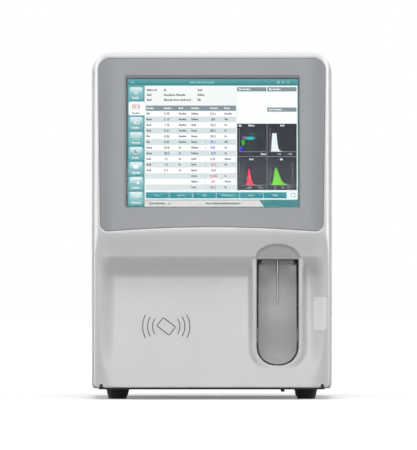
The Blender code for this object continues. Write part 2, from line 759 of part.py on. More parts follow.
def outline_half(z, inset):
    """Half the cover's width at a height, inside its round corners."""
    half = COVER_WIDTH / 2 - inset
    low = FOOT_HEIGHT + inset
    high = BODY_HEIGHT - inset
    top_radius = COVER_TOP_RADIUS - inset
    foot_radius = COVER_BOTTOM_RADIUS - inset
    if z > high - top_radius:
        return half - top_radius + math.sqrt(max(top_radius ** 2 - (z - high + top_radius) ** 2, 0))
    if z < low + foot_radius:
        return half - foot_radius + math.sqrt(max(foot_radius ** 2 - (low + foot_radius - z) ** 2, 0))
    return half


def edge_distance(x, z, inset):
    """How far a point lies inside the cover's outline."""
    half = COVER_WIDTH / 2 - inset
    low = FOOT_HEIGHT + inset
    high = BODY_HEIGHT - inset
    middle = (low + high) / 2
    radius = (COVER_TOP_RADIUS if z > middle else COVER_BOTTOM_RADIUS) - inset
    across = abs(x) - half + radius
    up = abs(z - middle) - (high - low) / 2 + radius
    return radius - math.hypot(max(across, 0), max(up, 0)) - min(max(across, up), 0)


def wall_at(z):
    """The cover's wall: thicker behind the screen, where the surround is let into it."""
    return COVER_WALL + (SCREEN_WALL - COVER_WALL) * smoothstep(FASCIA_LOW, SCREEN_FOOT, z)


def front_depth(x, z, inset=0):
    """The depth of the cover's outer skin, or of the skin that lies an inset inside it."""
    radius = max(RIM_RADIUS - inset, RIM_RADIUS - COVER_WALL)
    edge = min(max(edge_distance(x, z, inset), 0), radius)
    rim = radius - math.sqrt(radius ** 2 - (radius - edge) ** 2)
    return raw_depth(x, z) - FRONT_SET + roll_depth(x) + rim


def skin_points(inset):
    """One skin of the cover as rows of points."""
    rows = []
    low = FOOT_HEIGHT
    high = BODY_HEIGHT
    for height in row_heights(low, high):
        z = low + inset + (height - low) * (high - low - 2 * inset) / (high - low)
        half = outline_half(z, inset)
        row = []
        for share in column_places():
            x = share * half
            depth = front_depth(x, z, inset)
            row.append((x, deep(depth + (wall_at(z) if inset else 0)), z))
        rows.append(row)
    return rows


def cover_shell():
    """The cover's wall: an outer and an inner skin, joined round the back edge."""
    points = []
    faces = []
    back_rings = []
    for inset in (0, COVER_WALL):
        rows = skin_points(inset)
        first = len(points)
        columns = len(rows[0])
        for row in rows:
            points.extend(row)
        for i in range(len(rows) - 1):
            for j in range(columns - 1):
                a = first + i * columns + j
                faces.append((a, a + 1, a + columns + 1, a + columns))
        edge = ([(0, j) for j in range(columns)] + [(i, columns - 1) for i in range(1, len(rows))]
                + [(len(rows) - 1, j) for j in range(columns - 2, -1, -1)]
                + [(i, 0) for i in range(len(rows) - 2, 0, -1)])
        front_ring = [first + i * columns + j for i, j in edge]
        back_ring = []
        for index in front_ring:
            back_ring.append(len(points))
            points.append((points[index][0], deep(COVER_DEPTH), points[index][2]))
        count = len(front_ring)
        for step in range(count):
            after = (step + 1) % count
            faces.append((front_ring[step], front_ring[after], back_ring[after], back_ring[step]))
        back_rings.append(back_ring)
    outer, inner = back_rings
    for step in range(len(outer)):
        after = (step + 1) % len(outer)
        faces.append((outer[step], outer[after], inner[after], inner[step]))
    return closed_mesh(points, faces)


def screen_slab(front, back):
    """A slab that follows the screen plane and its rolled sides, between two depths behind them."""
    roll_steps = 6
    reach = COVER_WIDTH / 2 - SIDE_ROLL_START
    sides = [SIDE_ROLL_START + reach * step / roll_steps for step in range(roll_steps + 1)]
    places = [-x for x in reversed(sides)] + sides
    points = []
    for z in (SCREEN_FOOT - OVERRUN, BODY_HEIGHT + OVERRUN):
        for offset in (front, back):
            for x in places:
                points.append((x, deep(screen_depth(z) - FRONT_SET + roll_depth(x) + offset), z))
    count = len(places)
    faces = []
    for step in range(count - 1):
        for one, two in ((0, 1), (3, 2), (2, 0), (1, 3)):
            faces.append((one * count + step, one * count + step + 1,
                          two * count + step + 1, two * count + step))
    for end in (0, count - 1):
        faces.append((end, count + end, 3 * count + end, 2 * count + end))
    return closed_mesh(points, faces)


# Front cover and its fittings

def hood_form(growth, foot, start):
    """The upper half of the hood's ellipsoid, behind a start depth and down to just below the bay's top."""
    form = bmesh.new()
    bmesh.ops.create_uvsphere(form, u_segments=28, v_segments=14, radius=1)
    shape = Matrix.Diagonal((HOOD_HALF + growth, HOOD_DEPTH + growth, HOOD_RISE + growth, 1))
    form.transform(Matrix.Translation((BAY_X, deep(HOOD_FRONT), BAY_TOP)) @ shape)
    mesh = bpy.data.meshes.new("hood")
    form.to_mesh(mesh)
    form.free()
    half = HOOD_HALF + growth + OVERRUN
    keep = block(BAY_X - half, BAY_X + half, deep(start), deep(HOOD_DEPTH * 2),
                 BAY_TOP - foot, BAY_TOP + HOOD_RISE + OVERRUN)
    return combined("INTERSECT", mesh, keep)


def key_ears():
    """Two ears behind the bay that carry the key's pin."""
    hole = circle((deep(KEY_AXIS_DEPTH), KEY_AXIS_Z), KEY_PIN_RADIUS + GAP, FINE_ROUND_STEPS)
    start = KEY_HUB_HALF + GAP
    root = BAY_TOP + HOOD_WALL / 2 - COLLAR_RIM
    outline = rectangle(deep(SLEEVE_BACK - EAR_HALF_HEIGHT * 2), deep(SLEEVE_BACK), root,
                        KEY_AXIS_Z + EAR_HALF_HEIGHT / 2)
    return [plate("X", outline, BAY_X + side * start, BAY_X + side * (start + EAR_THICKNESS), [hole])
            for side in (-1, 1)]


def sleeve_form():
    """The collar and the sleeve behind it, still solid, with a roof at the bay's top."""
    outline = bay_outline(COLLAR_RIM, BAY_TOP + HOOD_WALL)
    return plate("Y", outline, deep(COLLAR_FRONT), deep(SLEEVE_BACK))


def front_cover():
    """The moulded front: screen pocket, sampling bay with its hood, and the key's ears."""
    shell = cover_shell()
    pocket = combined("INTERSECT",
                      screen_slab(-OVERRUN, BEZEL_SET + BEZEL_THICKNESS + GAP),
                      plate("Y", bezel_outline(GAP), deep(-OVERRUN), deep(COVER_DEPTH)))
    window = plate("Y", centred((SCREEN_CENTRE_X, SCREEN_CENTRE_Z),
                                SCREEN_OPENING_WIDTH + 2 * (GLASS_MARGIN + GAP),
                                SCREEN_OPENING_HEIGHT + 2 * (GLASS_MARGIN + GAP)),
                   deep(-OVERRUN), deep(COVER_DEPTH - OVERRUN))
    spout = rod("Z", (SPOUT_X, deep(SPOUT_DEPTH)), SPOUT_RADIUS + GAP,
                FOOT_HEIGHT - OVERRUN, FOOT_HEIGHT + OVERRUN)
    shell = cut(shell, pocket, window, spout)
    shell = united(shell, sleeve_form(), hood_form(HOOD_WALL, HOOD_WALL, HOOD_START), *key_ears())
    bay = plate("Y", bay_outline(0), deep(-OVERRUN), deep(SLEEVE_BACK + OVERRUN))
    hood = hood_form(0, HOOD_WALL, -OVERRUN)
    probe = rod("Z", (BAY_X, deep(PROBE_DEPTH)), PROBE_HOLE / 2, BAY_TOP - OVERRUN, KEY_AXIS_Z + OVERRUN)
    neck_half = KEY_HUB_HALF + GAP
    neck = block(BAY_X - neck_half, BAY_X + neck_half, deep(KEY_TOP_DEPTH - KEY_THICKNESS - GAP),
                 deep(SLEEVE_BACK + OVERRUN), BAY_TOP - OVERRUN, KEY_AXIS_Z - KEY_HUB)
    shell = cut(shell, bay, hood, probe, neck)
    piece("front_cover", shell, WHITE_PLASTIC, (0, deep(COVER_DEPTH), FOOT_HEIGHT))


def display_bezel():
    """The grey surround, let into the cover, with the screen's opening."""
    slab = screen_slab(BEZEL_SET, BEZEL_SET + BEZEL_THICKNESS)
    outline = plate("Y", bezel_outline(0), deep(-OVERRUN), deep(COVER_DEPTH))
    opening = plate("Y", centred((SCREEN_CENTRE_X, SCREEN_CENTRE_Z), SCREEN_OPENING_WIDTH,
                                 SCREEN_OPENING_HEIGHT, SCREEN_OPENING_RADIUS),
                    deep(-OVERRUN), deep(COVER_DEPTH))
    mesh = cut(combined("INTERSECT", slab, outline), opening)
    piece("display_bezel", mesh, GREY_PLASTIC, (SCREEN_CENTRE_X, deep(screen_depth(SCREEN_CENTRE_Z)),
                                               SCREEN_CENTRE_Z))


def screen_plate(name, look, margin, start, thickness, steps=()):
    """A plate square to the tilted screen, with thinner steps behind it."""
    centre = (SCREEN_CENTRE_X, deep(screen_depth(SCREEN_CENTRE_Z) - FRONT_SET), SCREEN_CENTRE_Z)
    width = SCREEN_OPENING_WIDTH + 2 * margin
    height = SCREEN_OPENING_HEIGHT + 2 * margin
    mesh = plate("Y", centred((0, 0), width, height), start, start + thickness)
    place = start + thickness
    for inset, step in steps:
        raised = plate("Y", centred((0, 0), width - 2 * inset, height - 2 * inset),
                       place - step / 2, place + step)
        mesh = united(mesh, raised)
        place += step
    lean = Matrix.Rotation(-SCREEN_TILT, 4, "X")
    mesh.transform(Matrix.Translation(centre) @ lean)
    piece(name, mesh, look, centre, -SCREEN_TILT)


def display_stack():
    """Touch glass in the cover's window, and the panel module behind the cover."""
    glass_start = BEZEL_SET + BEZEL_THICKNESS + GAP
    screen_plate("touch_glass", GLASS, GLASS_MARGIN, glass_start, GLASS_THICKNESS)
    module_start = SCREEN_WALL + GAP * 2
    screen_plate("display_module", ALUMINIUM, GLASS_MARGIN + MODULE_MARGIN, module_start,
                 MODULE_THICKNESS, [(MODULE_BACK_MARGIN, MODULE_BACK_THICKNESS)])


def key_depth_points():
    """The key plate's middle line from its hub to its foot, as (depth, height)."""
    top = (KEY_TOP_DEPTH, BAY_TOP)
    foot_z = BAY_FOOT + KEY_CLEARANCE
    bend = (KEY_BEND_DEPTH, KEY_BEND_Z)
    middle = (KEY_MIDDLE_DEPTH, KEY_MIDDLE_Z)
    curve = []
    curve_steps = 8
    for step in range(1, curve_steps + 1):
        share = step / curve_steps
        z = KEY_BEND_Z + (foot_z - KEY_BEND_Z) * share
        curve.append((KEY_BEND_DEPTH + (KEY_FOOT_DEPTH - KEY_BEND_DEPTH) * share ** 2, z))
    return [(KEY_AXIS_DEPTH, KEY_AXIS_Z), top, middle, bend] + curve


def aspirate_key():
    """The plate behind the bay: press its lower half back to start a sample."""
    line = key_depth_points()
    half = KEY_THICKNESS / 2
    front = [(deep(depth - half), z) for depth, z in line]
    back = [(deep(depth + half), z) for depth, z in reversed(line)]
    sheet = plate("X", front + back, BAY_X - BAY_HALF, BAY_X + BAY_HALF)
    shape = plate("Y", bay_outline(-KEY_CLEARANCE, BAY_TOP - KEY_CLEARANCE),
                  deep(-OVERRUN), deep(COVER_DEPTH))
    neck = block(BAY_X - KEY_HUB_HALF, BAY_X + KEY_HUB_HALF, deep(0), deep(COVER_DEPTH),
                 BAY_TOP - KEY_CLEARANCE * 2, KEY_AXIS_Z + OVERRUN)
    sheet = combined("INTERSECT", sheet, united(shape, neck))
    centre = (deep(KEY_AXIS_DEPTH), KEY_AXIS_Z)
    hub = rod("X", centre, KEY_HUB, BAY_X - KEY_HUB_HALF, BAY_X + KEY_HUB_HALF)
    bore = rod("X", centre, KEY_PIN_RADIUS + GAP, BAY_X - BAY_HALF, BAY_X + BAY_HALF)
    mesh = cut(united(sheet, hub), bore)
    piece("aspirate_key", mesh, KEY_PLASTIC, (BAY_X, *centre))
    reach = KEY_HUB_HALF + GAP + EAR_THICKNESS
    pin = rod("X", centre, KEY_PIN_RADIUS, BAY_X - reach, BAY_X + reach)
    piece("key_hinge_pin", pin, BRIGHT_STEEL, (BAY_X, *centre))


def key_back_depth():
    """The depth of the key's rear face at the switch, on the straight run above the bend."""
    line = key_depth_points()
    above, below = next((here, after) for here, after in zip(line, line[1:]) if after[1] <= SWITCH_Z)
    return between(below[1], above[1], SWITCH_Z, below[0], above[0]) + KEY_THICKNESS


def key_switch():
    """The switch that the key closes, on a strap across the back of the sleeve."""
    strap_front = SLEEVE_BACK + GAP
    reach = BAY_HALF + COLLAR_RIM + STRAP_REACH
    strap = plate("Y", centred((BAY_X, SWITCH_Z), 2 * reach, STRAP_HEIGHT),
                  deep(strap_front), deep(strap_front + STRAP_THICKNESS))
    piece("key_switch_bracket", strap, PLATED_STEEL, (BAY_X, deep(strap_front), SWITCH_Z))
    body_back = strap_front - GAP
    body_front = body_back - SWITCH_DEPTH
    body = plate("Y", centred((BAY_X, SWITCH_Z), SWITCH_WIDTH, SWITCH_HEIGHT), deep(body_front), deep(body_back))
    bore = rod("Y", (BAY_X, SWITCH_Z), PLUNGER_RADIUS + GAP, deep(body_front - OVERRUN),
               deep(body_back - GAP * 2))
    piece("key_switch", cut(body, bore), BLACK_PLASTIC, (BAY_X, deep(body_back), SWITCH_Z))
    tip = key_back_depth() + GAP
    plunger = rod("Y", (BAY_X, SWITCH_Z), PLUNGER_RADIUS, deep(tip), deep(tip + PLUNGER_LENGTH))
    piece("switch_plunger", plunger, BLACK_PLASTIC, (BAY_X, deep(tip), SWITCH_Z))


def drip_spout():
    """The black drain nipple of the bay, through the cover's floor."""
    shelf = FOOT_HEIGHT + COVER_WALL + GAP
    profile = [(SPOUT_BORE, FOOT_HEIGHT - SPOUT_DROP), (SPOUT_RADIUS, FOOT_HEIGHT - SPOUT_DROP),
               (SPOUT_RADIUS, shelf), (SPOUT_FLANGE, shelf),
               (SPOUT_FLANGE, shelf + SPOUT_FLANGE_THICKNESS), (SPOUT_BORE, shelf + SPOUT_FLANGE_THICKNESS)]
    mesh = turned("Z", (SPOUT_X, deep(SPOUT_DEPTH)), profile, FINE_ROUND_STEPS)
    piece("drip_spout", mesh, BLACK_RUBBER, (SPOUT_X, deep(SPOUT_DEPTH), FOOT_HEIGHT))


def card_reader_board():
    """The contactless reader's board, on four posts behind the lower panel."""
    slope = math.atan((RECESS_DEPTH - PANEL_FOOT_DEPTH) / (RECESS_HEIGHT - PANEL_FOOT))
    skin = front_depth(READER_X, READER_Z) + COVER_WALL / math.cos(slope)
    centre = (READER_X, deep(skin + GAP / math.cos(slope)), READER_Z)
    board = plate("Y", centred((0, 0), READER_WIDTH, READER_HEIGHT), READER_STANDOFF,
                  READER_STANDOFF + BOARD_THICKNESS)
    posts = []
    for side in (-1, 1):
        for end in (-1, 1):
            place = (side * (READER_WIDTH / 2 - BOARD_STANDOFF_RADIUS * 2),
                     end * (READER_HEIGHT / 2 - BOARD_STANDOFF_RADIUS * 2))
            posts.append(rod("Y", place, BOARD_STANDOFF_RADIUS, 0, READER_STANDOFF + BOARD_THICKNESS / 2))
    chip = plate("Y", centred((0, 0), READER_WIDTH / 3, READER_HEIGHT / 3),
                 READER_STANDOFF + BOARD_THICKNESS / 2, READER_STANDOFF + BOARD_THICKNESS + CHIP_HEIGHT / 2)
    mesh = united(board, chip, *posts)
    mesh.transform(Matrix.Translation(centre) @ Matrix.Rotation(-slope, 4, "X"))
    piece("card_reader_board", mesh, GREEN_BOARD, centre, -slope)


# Probe lift

def lift_bracket():
    """The steel plate that carries the lift, with two shelves, the idler's pin and a flange."""
    start = LIFT_PLATE_DEPTH
    end = start + LIFT_PLATE_THICKNESS
    left = PARTITION_X + SHEET + GAP
    shaft_hole = circle((BELT_X, DRIVE_Z), MOTOR_BOSS_RADIUS + GAP, FINE_ROUND_STEPS)
    face = plate("Y", rectangle(left, LIFT_PLATE_RIGHT, LIFT_LOW, LIFT_PLATE_TOP), deep(start), deep(end),
                 [shaft_hole])
    flange = block(left, left + SHEET, deep(end - GAP), deep(end + FRAME_BORDER), LIFT_LOW, LIFT_PLATE_TOP)
    parts = [flange]
    shelf_left = BAY_X - CARRIAGE_HALF
    shelf_right = BAY_X + CARRIAGE_HALF
    for low in (LIFT_LOW, LIFT_HIGH - SHELF_THICKNESS):
        parts.append(block(shelf_left, shelf_right, deep(SHELF_FRONT), deep(start + GAP), low, low + SHELF_THICKNESS))
    pin_front = BELT_FRONT - PULLEY_LIP
    parts.append(rod("Y", (BELT_X, IDLER_Z), IDLER_PIN_RADIUS, deep(pin_front), deep(start + GAP)))
    piece("lift_bracket", united(face, *parts), PLATED_STEEL, (left, deep(start), LIFT_LOW))


def guide_rods():
    """Two ground rods between the bracket's shelves."""
    low = LIFT_LOW + SHELF_THICKNESS + GAP
    high = LIFT_HIGH - SHELF_THICKNESS - GAP
    for name, side in (("guide_rod_left", -1), ("guide_rod_right", 1)):
        centre = (BAY_X + side * ROD_SPACING / 2, deep(ROD_DEPTH))
        piece(name, rod("Z", centre, ROD_RADIUS, low, high), BRIGHT_STEEL, (*centre, low))


def probe_carriage():
    """The slider on the rods, with the arm that holds the probe and a clamp for the belt."""
    holes = [circle((BAY_X + side * ROD_SPACING / 2, deep(ROD_DEPTH)), ROD_RADIUS + GAP, FINE_ROUND_STEPS)
             for side in (-1, 1)]
    body = plate("Z", rectangle(BAY_X - CARRIAGE_HALF, BAY_X + CARRIAGE_HALF, deep(CARRIAGE_FRONT),
                                deep(CARRIAGE_BACK)), CARRIAGE_LOW, CARRIAGE_HIGH, holes)
    bore = circle((BAY_X, deep(PROBE_DEPTH)), PROBE_RADIUS + GAP, FINE_ROUND_STEPS)
    arm = plate("Z", rectangle(BAY_X - ARM_HALF, BAY_X + ARM_HALF, deep(PROBE_DEPTH - ARM_NOSE),
                               deep(CARRIAGE_FRONT + GAP)), ARM_LOW, ARM_HIGH, [bore])
    belt_face = BELT_X - PULLEY_RADIUS - GAP - BELT_THICKNESS
    clamp = block(BAY_X + CARRIAGE_HALF - GAP, belt_face - GAP, deep(BELT_FRONT), deep(BELT_FRONT + BELT_WIDTH),
                  ARM_LOW, ARM_HIGH)
    piece("probe_carriage", united(body, arm, clamp), BLACK_PLASTIC, (BAY_X, deep(ROD_DEPTH), CARRIAGE_LOW))


def sample_probe():
    """The steel needle, with the hub that seats on the arm."""
    hub = ARM_HIGH + GAP
    bevel = PROBE_RADIUS * 2
    profile = [(0, PROBE_TIP_Z), (PROBE_RADIUS / 2, PROBE_TIP_Z), (PROBE_RADIUS, PROBE_TIP_Z + bevel),
               (PROBE_RADIUS, hub), (PROBE_HUB_RADIUS, hub), (PROBE_HUB_RADIUS, hub + PROBE_HUB_HEIGHT),
               (PROBE_RADIUS, hub + PROBE_HUB_HEIGHT), (PROBE_RADIUS, PROBE_TOP_Z), (0, PROBE_TOP_Z)]
    centre = (BAY_X, deep(PROBE_DEPTH))
    piece("sample_probe", turned("Z", centre, profile, FINE_ROUND_STEPS), BRIGHT_STEEL, (*centre, ARM_HIGH))


def rinse_block():
    """The wash block round the probe, on a tongue over the lower shelf."""
    hole = circle((BAY_X, deep(PROBE_DEPTH)), PROBE_RADIUS * 2, FINE_ROUND_STEPS)
    body = plate("Z", rectangle(BAY_X - RINSE_HALF, BAY_X + RINSE_HALF, deep(RINSE_FRONT), deep(RINSE_BACK)),
                 RINSE_LOW, RINSE_HIGH, [hole])
    low = LIFT_LOW + SHELF_THICKNESS + GAP
    tongue = block(BAY_X - RINSE_TONGUE_HALF, BAY_X + RINSE_TONGUE_HALF, deep(RINSE_BACK - GAP),
                   deep(LIFT_PLATE_DEPTH - GAP), low, low + RINSE_TONGUE)
    piece("rinse_block", united(body, tongue), CLEAR_PLASTIC, (BAY_X, deep(RINSE_BACK), RINSE_LOW))


def pulley_profile(radius, bore, front, width):
    """A pulley's section: a drum between two flanges, round a bore."""
    lip = radius + PULLEY_LIP
    flange = PULLEY_FLANGE
    back = front + width
    return [(bore, front), (lip, front), (lip, front + flange), (radius, front + flange),
            (radius, back - flange), (lip, back - flange), (lip, back), (bore, back)]


def lift_pulleys():
    """Drive pulley with its shaft, idler pulley on the bracket's pin, and the belt round both."""
    front = deep(BELT_FRONT - PULLEY_FLANGE - GAP)
    width = BELT_WIDTH + 2 * (PULLEY_FLANGE + GAP)
    drive = turned("Y", (BELT_X, DRIVE_Z), pulley_profile(PULLEY_RADIUS, SHAFT_RADIUS / 2, front, width))
    shaft_end = deep(LIFT_PLATE_DEPTH + LIFT_PLATE_THICKNESS + MOTOR_BOSS_RADIUS)
    shaft = rod("Y", (BELT_X, DRIVE_Z), SHAFT_RADIUS, front + PULLEY_FLANGE / 2, shaft_end)
    piece("drive_pulley", united(drive, shaft), ALUMINIUM, (BELT_X, front, DRIVE_Z))
    idler = turned("Y", (BELT_X, IDLER_Z), pulley_profile(PULLEY_RADIUS, IDLER_PIN_RADIUS + GAP, front, width))
    piece("idler_pulley", idler, ALUMINIUM, (BELT_X, front, IDLER_Z))
    loops = []
    for radius in (PULLEY_RADIUS + GAP + BELT_THICKNESS, PULLEY_RADIUS + GAP):
        loops.append(arc((BELT_X, IDLER_Z), radius, 180, 360, CORNER_STEPS * 2)
                     + arc((BELT_X, DRIVE_Z), radius, 0, 180, CORNER_STEPS * 2))
    belt = plate("Y", loops[0], deep(BELT_FRONT), deep(BELT_FRONT + BELT_WIDTH), [loops[1]])
    piece("lift_belt", belt, BELT_RUBBER, (BELT_X, deep(BELT_FRONT), IDLER_Z))


def motor_outline(centre):
    """A square stepper with its corners cut off."""
    half = MOTOR_SIZE / 2
    chamfer = MOTOR_CHAMFER
    corners = [(half, chamfer - half), (half, half - chamfer), (half - chamfer, half), (chamfer - half, half),
               (-half, half - chamfer), (-half, chamfer - half), (chamfer - half, -half), (half - chamfer, -half)]
    return [(centre[0] + u, centre[1] + v) for u, v in corners]


def motor(axis, centre, face, end, shaft, toward):
    """A stepper: its body, the round boss on its face, and the bore its shaft turns in."""
    body = plate(axis, motor_outline(centre), min(face, end), max(face, end))
    boss_end = face + toward * MOTOR_BOSS_HEIGHT
    low, high = sorted((boss_end, face - toward * GAP))
    boss = rod(axis, centre, MOTOR_BOSS_RADIUS, low, high)
    low, high = sorted((boss_end + toward * OVERRUN, face - toward * MOTOR_LENGTH / 2))
    bore = rod(axis, centre, shaft + GAP, low, high)
    return cut(united(body, boss), bore)


def lift_motor():
    """The stepper behind the lift's plate."""
    face = deep(LIFT_PLATE_DEPTH + LIFT_PLATE_THICKNESS + GAP)
    mesh = motor("Y", (BELT_X, DRIVE_Z), face, face + MOTOR_LENGTH, SHAFT_RADIUS, -1)
    piece("lift_motor", mesh, BLACK_PLASTIC, (BELT_X, face, DRIVE_Z))


# Housing

def top_profile():
    """The top cover's arch in the front view: outer skin one way, inner skin back."""
    half = BODY_WIDTH / 2
    high = BODY_HEIGHT - TOP_DROP
    outer = ([(half, TOP_SKIRT)] + arc((half - TOP_RADIUS, high - TOP_RADIUS), TOP_RADIUS, 0, 90, CORNER_STEPS * 2)
             + arc((TOP_RADIUS - half, high - TOP_RADIUS), TOP_RADIUS, 90, 180, CORNER_STEPS * 2)
             + [(-half, TOP_SKIRT)])
    inner_radius = TOP_RADIUS - TOP_WALL
    inner = ([(half - TOP_WALL, TOP_SKIRT)]
             + arc((half - TOP_RADIUS, high - TOP_RADIUS), inner_radius, 0, 90, CORNER_STEPS * 2)
             + arc((TOP_RADIUS - half, high - TOP_RADIUS), inner_radius, 90, 180, CORNER_STEPS * 2)
             + [(TOP_WALL - half, TOP_SKIRT)])
    return outer + list(reversed(inner))


def hinge_pin_form(low, high):
    return rod("Z", (HINGE_X, deep(HINGE_DEPTH)), HINGE_PIN, low, high)


def top_cover():
    """The arched top, with the boss that carries the door's upper pin."""
    arch = plate("Y", top_profile(), deep(COVER_DEPTH + GAP), deep(SHELL_BACK))
    tab = block(HINGE_X - HINGE_BARREL, BODY_WIDTH / 2 - TOP_WALL / 2, deep(HINGE_DEPTH - HINGE_BARREL),
                deep(SHELL_BACK), TOP_SKIRT, TOP_SKIRT + HINGE_TAB)
    pin = hinge_pin_form(TOP_SKIRT - HINGE_PIN_LENGTH, TOP_SKIRT + HINGE_TAB / 2)
    piece("top_cover", united(arch, tab, pin), PAINTED_STEEL, (0, deep(COVER_DEPTH), TOP_SKIRT))


def panel_low():
    """The level that the side panels stand on."""
    return FOOT_HEIGHT + TRAY_THICKNESS + GAP


def left_side_panel():
    """The fixed side: a sheet with its edges folded inwards."""
    outer = -BODY_WIDTH / 2
    front = deep(COVER_DEPTH + GAP)
    back = deep(SHELL_BACK)
    low = panel_low()
    high = TOP_SKIRT - GAP
    sheet = block(outer, outer + SHEET, front, back, low, high)
    edge = outer + PANEL_FLANGE
    start = outer + SHEET / 2
    folds = [block(start, edge, front, front + SHEET, low, high),
             block(start, edge, back - SHEET, back, low, high),
             block(start, edge, front + SHEET / 2, back - SHEET / 2, low, low + SHEET)]
    piece("left_side_panel", united(sheet, *folds), PAINTED_STEEL, (outer, front, low))


def right_side_door():
    """The service door: a folded sheet on a barrel that runs its whole height."""
    outer = BODY_WIDTH / 2
    front = deep(COVER_DEPTH + GAP)
    axis_y = deep(HINGE_DEPTH)
    back = axis_y + DOOR_TAIL
    low = panel_low()
    high = TOP_SKIRT - GAP
    lock_hole = circle((deep(LOCK_DEPTH), LOCK_Z), LOCK_RADIUS + GAP)
    sheet = plate("X", rectangle(front, back, low, high), outer - SHEET, outer, [lock_hole])
    edge = outer - PANEL_FLANGE
    start = outer - SHEET / 2
    fold_end = axis_y - HINGE_BARREL * 3
    folds = [block(edge, start, front, front + SHEET, low, high),
             block(edge, start, front + SHEET / 2, fold_end, low, low + SHEET),
             block(edge, start, front + SHEET / 2, fold_end, high - SHEET, high)]
    barrel = rod("Z", (HINGE_X, axis_y), HINGE_BARREL, low, high)
    bores = [rod("Z", (HINGE_X, axis_y), HINGE_PIN + GAP, low - OVERRUN, low + HINGE_PIN_LENGTH + GAP),
             rod("Z", (HINGE_X, axis_y), HINGE_PIN + GAP, high - HINGE_PIN_LENGTH - GAP, high + OVERRUN)]
    mesh = cut(united(sheet, barrel, *folds), *bores)
    piece("right_side_door", mesh, PAINTED_STEEL, (HINGE_X, axis_y, low))


def door_lock():
    """The quarter-turn lock: a slotted disc in the door, a spindle and a cam behind it."""
    outer = BODY_WIDTH / 2
    centre = (deep(LOCK_DEPTH), LOCK_Z)
    disc = rod("X", centre, LOCK_RADIUS, outer - SHEET, outer, ROUND_STEPS)
    spindle = rod("X", centre, LOCK_SPINDLE, CAM_X + CAM_THICKNESS / 2, outer - SHEET / 2)
    half = CAM_HALF
    tip = centre[1] + CAM_LENGTH
    cam = plate("X", arc(centre, half, 180, 360, CORNER_STEPS * 2)
                + [(centre[0] + half, tip), (centre[0] - half, tip)], CAM_X, CAM_X + CAM_THICKNESS)
    slot = plate("X", centred(centre, LOCK_SLOT_WIDTH, LOCK_SLOT_LENGTH), outer - LOCK_SLOT_DEPTH, outer + OVERRUN)
    piece("door_lock", cut(united(disc, spindle, cam), slot), PLATED_STEEL, (outer, *centre))


def base_tray():
    """The floor of the housing, with the tab and pin for the door's lower hinge."""
    half = BODY_WIDTH / 2 - TRAY_MARGIN
    floor = block(-half, half, deep(COVER_DEPTH + GAP), deep(SHELL_BACK), FOOT_HEIGHT, FOOT_HEIGHT + TRAY_THICKNESS)
    pin = hinge_pin_form(FOOT_HEIGHT + TRAY_THICKNESS / 2, panel_low() + HINGE_PIN_LENGTH)
    piece("base_tray", united(floor, pin), PAINTED_STEEL, (0, deep(COVER_DEPTH), FOOT_HEIGHT))


def rear_panel():
    """The back: fan slots and the cut-outs for the inlet, switch, fittings and sockets."""
    low = panel_low()
    high = BODY_HEIGHT - TOP_DROP - TOP_WALL - GAP
    corner = TOP_RADIUS - TOP_WALL
    outline = ([(REAR_LEFT, low), (REAR_RIGHT, low)] + arc((REAR_RIGHT - corner, high - corner), corner, 0, 90)
               + arc((REAR_LEFT + corner, high - corner), corner, 90, 180))
    holes = [centred((INLET_X, INLET_Z), INLET_WIDTH + 2 * GAP, INLET_HEIGHT + 2 * GAP),
             centred((SWITCH_X, INLET_Z), ROCKER_WIDTH + 2 * (SWITCH_WALL + GAP),
                     ROCKER_HEIGHT + 2 * (SWITCH_WALL + GAP)),
             centred((DATA_X, DATA_Z), DATA_WIDTH + 2 * GAP, DATA_HEIGHT + 2 * GAP)]
    pitch = 2 * FAN_BORE / GRILLE_SLOTS
    for slot in range(GRILLE_SLOTS):
        offset = (slot - (GRILLE_SLOTS - 1) / 2) * pitch
        length = 2 * math.sqrt((FAN_BORE - GRILLE_SLOT_WIDTH) ** 2 - offset ** 2)
        holes.append(centred((FAN_X + offset, FAN_Z), GRILLE_SLOT_WIDTH, length, GRILLE_SLOT_WIDTH / 2 - GAP))
    for port in range(PORT_COUNT):
        holes.append(circle((port_x(port), PORT_Z), PORT_BASE_RADIUS, FINE_ROUND_STEPS))
    mesh = plate("Y", outline, deep(SHELL_BACK - REAR_THICKNESS), deep(SHELL_BACK), holes)
    piece("rear_panel", mesh, PAINTED_STEEL, (0, deep(SHELL_BACK), low))


def front_frame():
    """The steel frame inside the front cover, with returns that the sides close against."""
    low = FOOT_HEIGHT + COVER_WALL + GAP * 2
    high = BODY_HEIGHT - COVER_WALL - GAP * 2
    radius = COVER_TOP_RADIUS - COVER_WALL
    half = FRAME_HALF
    outline = ([(-half, low), (half, low)] + arc((half - radius, high - radius), radius, 0, 90)
               + arc((radius - half, high - radius), radius, 90, 180))
    window = rectangle(FRAME_BORDER - half, half - FRAME_BORDER, low + FRAME_BORDER, high - FRAME_BORDER)
    ring = plate("Y", outline, deep(FRAME_DEPTH), deep(FRAME_DEPTH + SHEET), [window])
    parts = []
    top = high - radius - SHEET
    for side in (-1, 1):
        left, right = sorted((side * half, side * (half - SHEET)))
        parts.append(block(left, right, deep(FRAME_DEPTH + SHEET / 2), deep(FRAME_RETURN), low, top))
    parts.append(block(FRAME_BORDER - half, half - FRAME_BORDER, deep(FRAME_DEPTH + SHEET / 2),
                       deep(FRAME_RETURN), low, low + SHEET))
    piece("front_frame", united(ring, *parts), PLATED_STEEL, (0, deep(FRAME_DEPTH), low))


